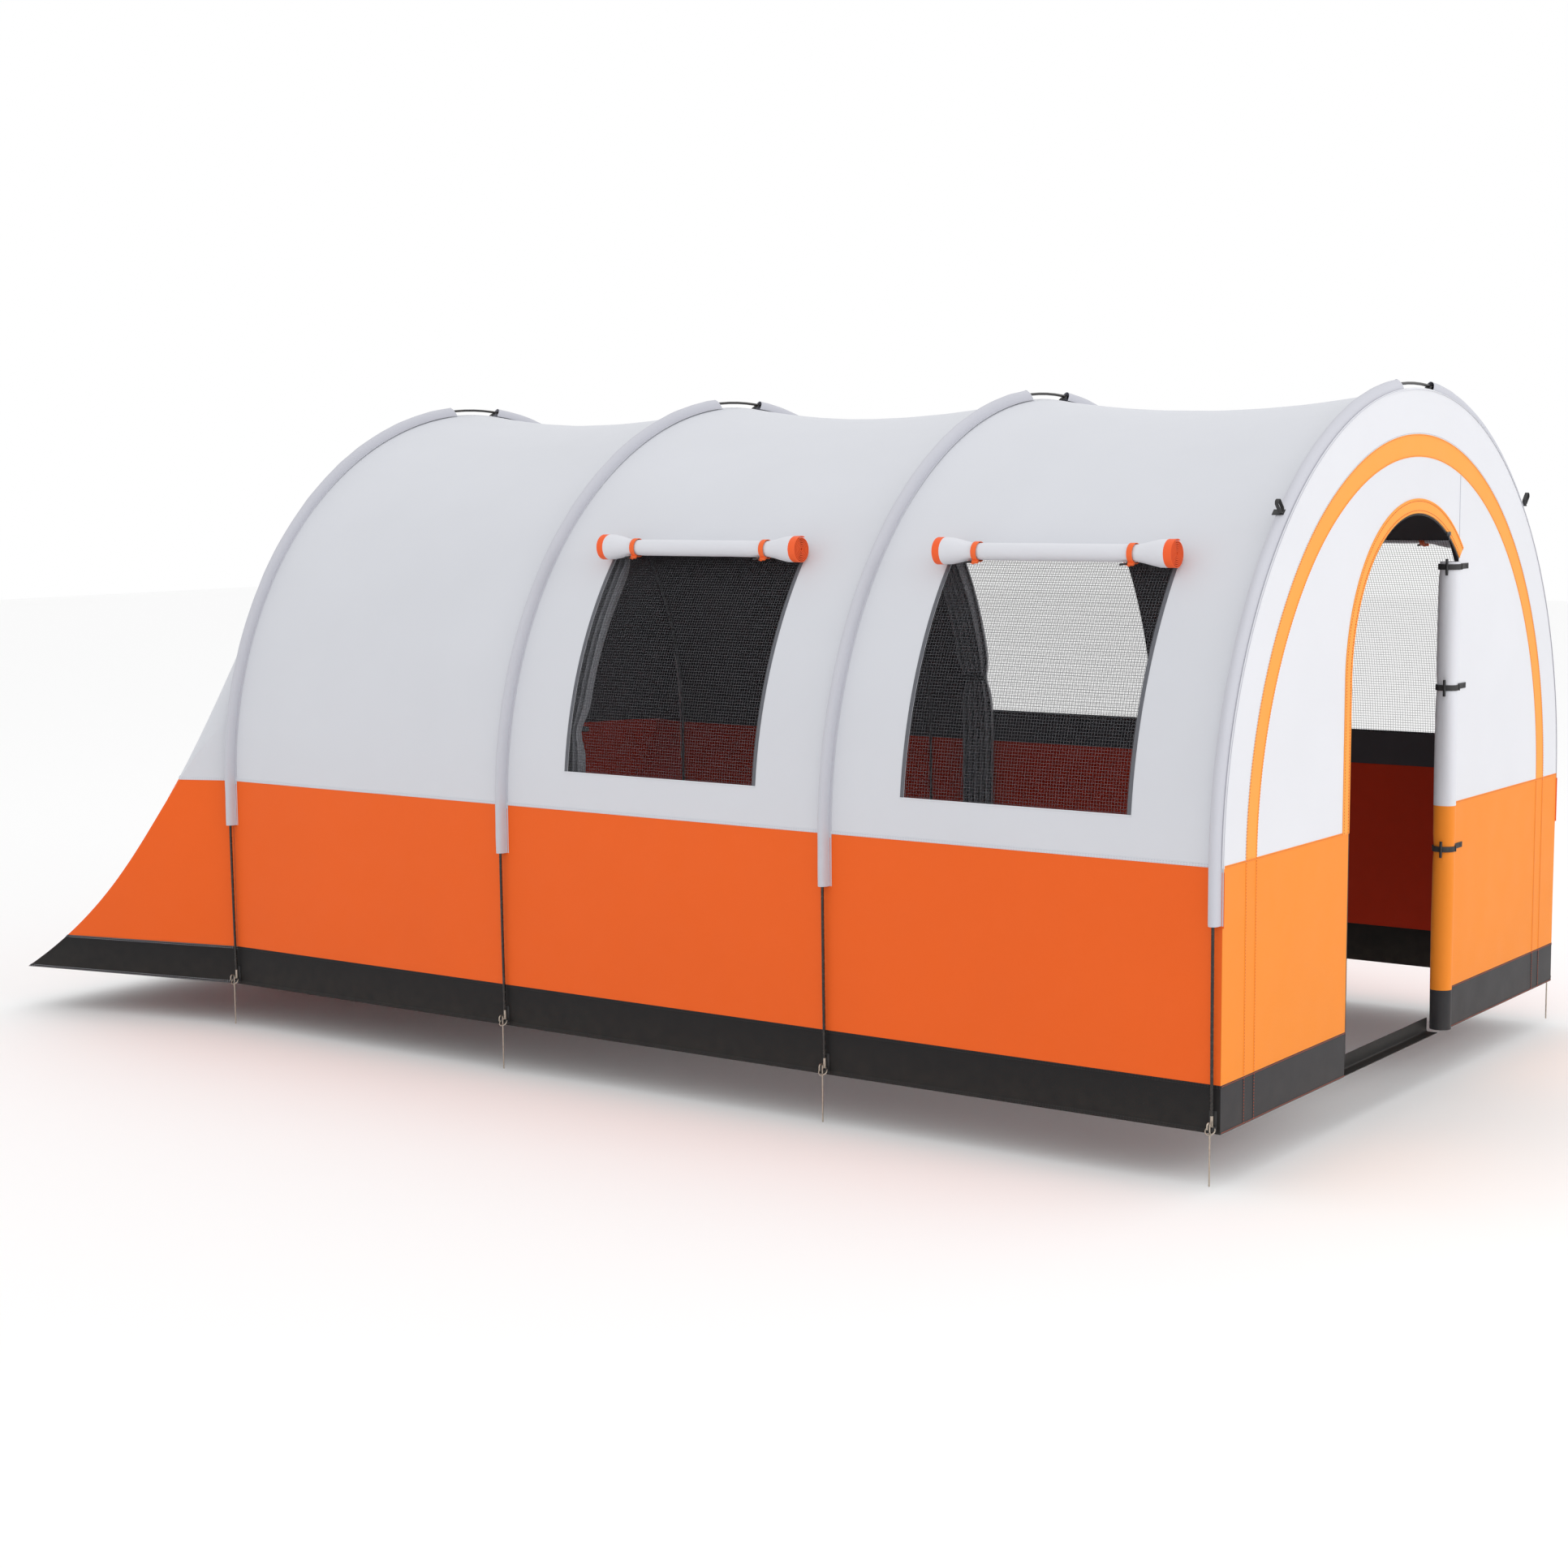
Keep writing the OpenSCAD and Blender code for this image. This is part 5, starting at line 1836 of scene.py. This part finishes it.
@dataclass
class Windows:
    """Netting of the four windows and the bound tape round them."""

    tent: TentShape
    finish: Finishes
    tape_w: float = 12 * MM

    def build(self) -> None:
        """Builds the netting and the tapes."""
        tapes = []
        for side in Side:
            for bay in (1, 2):
                low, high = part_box(f"window_mesh_{side.value}_{bay}")
                a0 = math.asin((low.z - self.tent.wall_h) / self.tent.half_w)
                a1 = math.asin((high.z - self.tent.wall_h) / self.tent.half_w)
                self._netting(side, bay, low.x, high.x, a0, a1)
                tapes += self._tapes(side, bay, low.x, high.x, a0, a1)
        keep_trim(join("window_tape_set", tapes), "piping_tape", ["window_piping"])

    def _angle(self, side: Side, a: float) -> float:
        """Angle on the roof of an angle above one wall."""
        return a if side is Side.LEFT else math.pi - a

    def _netting(self, side: Side, bay: int, x0: float, x1: float, a0: float, a1: float) -> None:
        """Stretches the netting of one window."""
        inset = -1.6 * MM
        over = 6 * MM
        rows = []
        for a in evenly(a0 - over / self.tent.half_w, a1 + over / self.tent.half_w, 26):
            rows.append([self.tent.roof_point(x, self._angle(side, a), inset)
                         for x in evenly(x0 - over, x1 + over, 34)])
        piece = SHEETS.sheet(f"window_netting_{side.value}_{bay}", rows, from_inside,
                             (self.finish.netting, self.finish.netting), 0.5 * MM)
        keep_cloth(piece, [f"window_mesh_{side.value}_{bay}"], "screen_mesh", flat_size(rows))

    def _tapes(
        self, side: Side, bay: int, x0: float, x1: float, a0: float, a1: float
    ) -> list[bpy.types.Object]:
        """Binds the two upright edges and the sill."""
        made = []
        for k, x in enumerate((x0 - self.tape_w / 2, x1 + self.tape_w / 2)):
            path = []
            for a in evenly(a0, a1, 40):
                angle = self._angle(side, a)
                path.append((self.tent.roof_point(x, angle, 0.2 * MM), self.tent.roof_normal(x, angle)))
            made.append(SHEETS.tape(f"window_side_tape_{side.value}_{bay}_{k}", path, self.tape_w,
                                    self.finish.piping, 1.2 * MM))
        sill = []
        angle = self._angle(side, a0 - 2.5 * MM / self.tent.half_w)
        for x in evenly(x0 - self.tape_w, x1 + self.tape_w, 40):
            sill.append((self.tent.roof_point(x, angle, 0.2 * MM), self.tent.roof_normal(x, angle)))
        made.append(SHEETS.tape(f"window_sill_tape_{side.value}_{bay}", sill, 5 * MM, self.finish.grey,
                                1.0 * MM))
        return made


@dataclass
class Curtains:
    """Partition curtains tied back against both walls in the second bay."""

    tent: TentShape
    finish: Finishes
    bulk_x: float = 122 * MM
    bulk_y: float = 46 * MM
    inset: float = 14 * MM
    folds: int = 5

    def build(self) -> None:
        """Gathers both curtains and ties them back."""
        low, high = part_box("partition_curtains")
        middle_x = (low.x + high.x) / 2
        top = math.radians(48)
        pieces = []
        for side in Side:
            pieces.append(self._curtain(side, middle_x, top, low.z))
        for piece in pieces:
            keep_cloth(piece, ["partition_curtains"], "curtain_cloth", self._flat(low.z, top))

        self._toggles(middle_x, low.z)

    def _section(self, reach: float) -> list[tuple[float, float]]:
        """Folded section: places along the tent and depths inwards."""
        points = []
        count = self.folds * 14
        for k in range(count + 1):
            share = k / count
            swing = math.sin(math.tau * self.folds * share + 0.6 * math.sin(reach * 3.0))
            squeeze = 1 - 0.30 * math.exp(-((reach % 0.62 - 0.31) / 0.05) ** 2)
            depth = self.bulk_y * (0.5 + 0.5 * swing * (0.85 + 0.15 * math.sin(5 * share + reach * 2)))
            points.append(((share - 0.5) * self.bulk_x * squeeze, depth * squeeze))
        return points

    def _flat(self, bottom: float, top: float) -> tuple[float, float]:
        """Width and length of the flat curtain."""
        points = self._section(0.1)
        width = sum(math.dist(a, b) for a, b in zip(points, points[1:]))
        return width, self.tent.wall_h - bottom + top * self.tent.half_w

    def _curtain(self, side: Side, middle_x: float, top: float, bottom: float) -> bpy.types.Object:
        """Gathers one curtain up its wall."""
        tent = self.tent
        leg = tent.wall_h - bottom
        radius = tent.half_w - self.inset
        rows = []
        for reach in evenly(0.0, leg + top * radius, 90):
            row = []
            for dx, depth in self._section(reach):
                r = radius - depth
                if reach <= leg:
                    row.append(Vector((middle_x + dx, side.sign * r, bottom + reach)))
                else:
                    angle = (reach - leg) / radius
                    row.append(Vector((middle_x + dx, side.sign * r * math.cos(angle),
                                       tent.wall_h + r * math.sin(angle))))
            rows.append(row)
        return SHEETS.sheet(f"curtain_{side.value}", rows, lambda p: Vector((0, -p.y, 0.1)),
                            (self.finish.curtain, self.finish.curtain), 1.0 * MM, sharp_deg=60)

    def _toggles(self, middle_x: float, bottom: float) -> None:
        """Black toggles that hold the curtains back."""
        made = []
        for side in Side:
            for k, z in enumerate((bottom + 0.31, bottom + 0.93)):
                r = self.tent.half_w - self.inset - self.bulk_y * 0.55
                y = side.sign * (r if z < self.tent.wall_h else math.sqrt(r * r - (z - self.tent.wall_h) ** 2))
                place = Vector((middle_x, y - side.sign * 12 * MM, z))
                made.append(add_strap(f"curtain_tie_{side.value}_{k}", place, Vector((104, 18, 16)) * MM,
                                      self.finish.webbing, round_mm=4))
        keep_trim(join("curtain_tie_set", made), "webbing")


# ----------------------------------------------------------------- fittings


@dataclass
class Fittings:
    """Straps at the feet, the zip slider, and the finishes of the hard CAD parts."""

    tent: TentShape
    finish: Finishes

    def build(self) -> None:
        """Builds the straps and the slider, and gives the hard parts their finishes."""
        self._straps()
        self._slider()
        self._hard_parts()

    def _straps(self) -> None:
        """Webbing sewn on the skirt, with two ears that hold the ring."""
        tent = self.tent
        low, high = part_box("foot_rings")
        ring_y = high.y - (high.y - tent.half_w) / 2
        ring_z = (low.z + high.z) / 2
        made = []
        paths = []
        for hoop, x in enumerate(tent.hoops, 1):
            for side in Side:
                y = side.sign * (tent.half_w + 1.6 * MM)
                made.append(add_strap(f"foot_strap_{hoop}_{side.value}", Vector((x, y, 34 * MM)),
                                      Vector((22, 2, 56)) * MM, self.finish.webbing))
                for k in (-1, 1):
                    place = Vector((x + k * 8.5 * MM, side.sign * (ring_y + tent.half_w) / 2,
                                    ring_z + 4 * MM))
                    made.append(add_strap(f"foot_ear_{hoop}_{side.value}_{k}", place,
                                          Vector((5 * MM, abs(ring_y - tent.half_w) + 6 * MM, 12 * MM)),
                                          self.finish.webbing, round_mm=1.6))
                out = Vector((0, side.sign, 0))
                for z in (44 * MM, 54 * MM):
                    paths.append([(Vector((x + s * 8 * MM, y + side.sign * 1.1 * MM, z)),
                                   out) for s in (-1, 1)])
        keep_trim(join("foot_strap_set", made), "webbing", ["foot_straps"])
        small = Sheets(stitch_l=3 * MM, stitch_w=0.9 * MM, stitch_pitch=4 * MM)
        keep_trim(small.stitches("foot_strap_tacks", paths, (0.0,), 0.3 * MM, self.finish.dark_thread),
                  "webbing")

    def _slider(self) -> None:
        """Builds the zip slider: a rounded body, a bail and a flat pull."""
        low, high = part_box("zip_slider")
        middle, size = (low + high) / 2, high - low
        metal = self.finish.enamel
        body_h = size.z * 0.42
        top = high.z - body_h / 2
        parts = [add_strap("slider_body", Vector((middle.x, middle.y, top)),
                           Vector((size.x * 0.7, size.y * 0.8, body_h)), metal, round_mm=1.5)]
        parts.append(add_toggle("slider_bail", Vector((high.x - 2 * MM, middle.y, top)), Vector((0, 0, 1)),
                                body_h * 0.7, 1.2 * MM, metal))
        parts.append(add_strap("slider_pull", Vector((high.x - 1.6 * MM, middle.y, top - body_h)),
                               Vector((2.0 * MM, 7 * MM, size.z * 0.55)), metal, round_mm=0.8))
        keep_trim(join("zip_slider_metal", parts), "slider_metal", ["zip_slider"], body_of_node("zip_slider"))

    def _hard_parts(self) -> None:
        """Gives poles, tips, rings and pegs their finishes."""
        for name, node in frame["nodes"].items():
            if name.startswith("hoop_pole"):
                give(node, self.finish.rod)
            elif name.startswith("peg_") or name in ("pole_tips", "foot_rings"):
                give(node, self.finish.steel)


def pole_radius(tent: TentShape) -> float:
    """Radius of the poles' line round the arch's middle."""
    low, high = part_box("hoop_pole_2")
    rod = high.x - low.x
    return high.z - tent.wall_h - rod / 2


def body_of_node(node: str) -> str:
    """Body that a CAD node is part of."""
    return frame["nodes"][node]["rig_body"]


# --------------------------------------------------------------------- studio


@dataclass
class Studio:
    """Plain pale floor, soft light and the camera."""

    place: Vector = field(default_factory=lambda: Vector((2.941, -7.248, 1.703)))
    yaw_deg: float = 35.693
    pitch_deg: float = 6.719
    roll: float = -0.0078
    focal_mm: float = 59.4
    sensor_mm: float = 36.0
    floor_drop: float = 12 * MM

    def build(self) -> None:
        """Builds the floor, the lights, the world and the camera."""
        self._floor()
        self._light("soft key, front", Vector((8.0, -0.5, 4.2)), 5.0, 170.0)
        self._light("soft top", Vector((-1.5, 0.5, 7.5)), 7.0, 40.0)
        self._world()
        self._camera()

    def _floor(self) -> None:
        """Lays the floor just below the peg tips."""
        bpy.ops.object.select_all(action="DESELECT")
        bpy.ops.mesh.primitive_plane_add(size=60, location=(-2, 0, CAD_BOX[0][2] - self.floor_drop))
        floor = bpy.context.object
        floor.name = "studio_floor"
        material, tree, shader = new_material("matt white studio paper")
        shader.inputs["Base Color"].default_value = linear("FAFAFA")
        shader.inputs["Roughness"].default_value = 0.9
        give(floor, material)
        LOG.info("floor with %d nodes", len(tree.nodes))

    def _light(self, name: str, place: Vector, size: float, power: float) -> None:
        """Hangs one large soft light that points at the tent."""
        lamp = bpy.data.lights.new(name, "AREA")
        lamp.energy = power
        lamp.shape = "SQUARE"
        lamp.size = size
        holder = bpy.data.objects.new(name, lamp)
        bpy.context.scene.collection.objects.link(holder)
        aim = Vector((-1.6, 0.0, 0.8)) - place
        holder.matrix_world = Matrix.LocRotScale(place, aim.to_track_quat("-Z", "Y"), None)

    def _world(self) -> None:
        """Lights the room white from all round."""
        world = bpy.data.worlds.new("white room")
        bpy.context.scene.world = world
        world.use_nodes = True
        world.node_tree.nodes["Background"].inputs["Color"].default_value = (1, 1, 1, 1)
        world.node_tree.nodes["Background"].inputs["Strength"].default_value = 1.0
        bpy.context.scene.view_settings.view_transform = "Standard"

    def _camera(self) -> None:
        """Places the camera at the tent's three-quarter view."""
        data = bpy.data.cameras.new("camera")
        data.lens = self.focal_mm
        data.sensor_width = self.sensor_mm
        data.clip_end = 200
        camera = bpy.data.objects.new("camera", data)
        bpy.context.scene.collection.objects.link(camera)
        yaw, pitch = math.radians(self.yaw_deg), math.radians(self.pitch_deg)
        ahead = Vector((-math.sin(yaw) * math.cos(pitch), math.cos(yaw) * math.cos(pitch), -math.sin(pitch)))
        right = ahead.cross(Vector((0, 0, 1))).normalized()
        up = right.cross(ahead)
        c, s = math.cos(self.roll), math.sin(self.roll)
        turned = Matrix((right * c + up * s, up * c - right * s, -ahead)).transposed()
        camera.matrix_world = Matrix.Translation(self.place) @ turned.to_4x4()
        bpy.context.scene.camera = camera


def write_size() -> None:
    """Updates the view layer."""
    bpy.context.view_layer.update()


def main() -> None:
    """Builds the tent from its walls to its fittings, then the studio."""
    logging.basicConfig(level=logging.INFO, format="%(message)s")
    tent = TentShape.read()
    tail = TailShape(tent)
    front = FrontShape.read(tent)
    finish = Finishes()
    assemblies = (
        RoofCanopy(tent, finish), SideWalls(tent, finish), Tail(tail, finish), FrontWall(front, finish),
        Doorway(front, finish), RolledDoor(front, finish), PoleSleeves(tent, finish,
                                                                       pole_radius(tent)), Windows(tent,
                                                                                                   finish),
        WindowCovers(tent, finish), Curtains(tent, finish), Fittings(tent, finish))
    for assembly in assemblies:
        LOG.info("building %s", type(assembly).__name__)
        assembly.build()
    Studio().build()
    write_size()


if __name__ == "__main__":
    main()
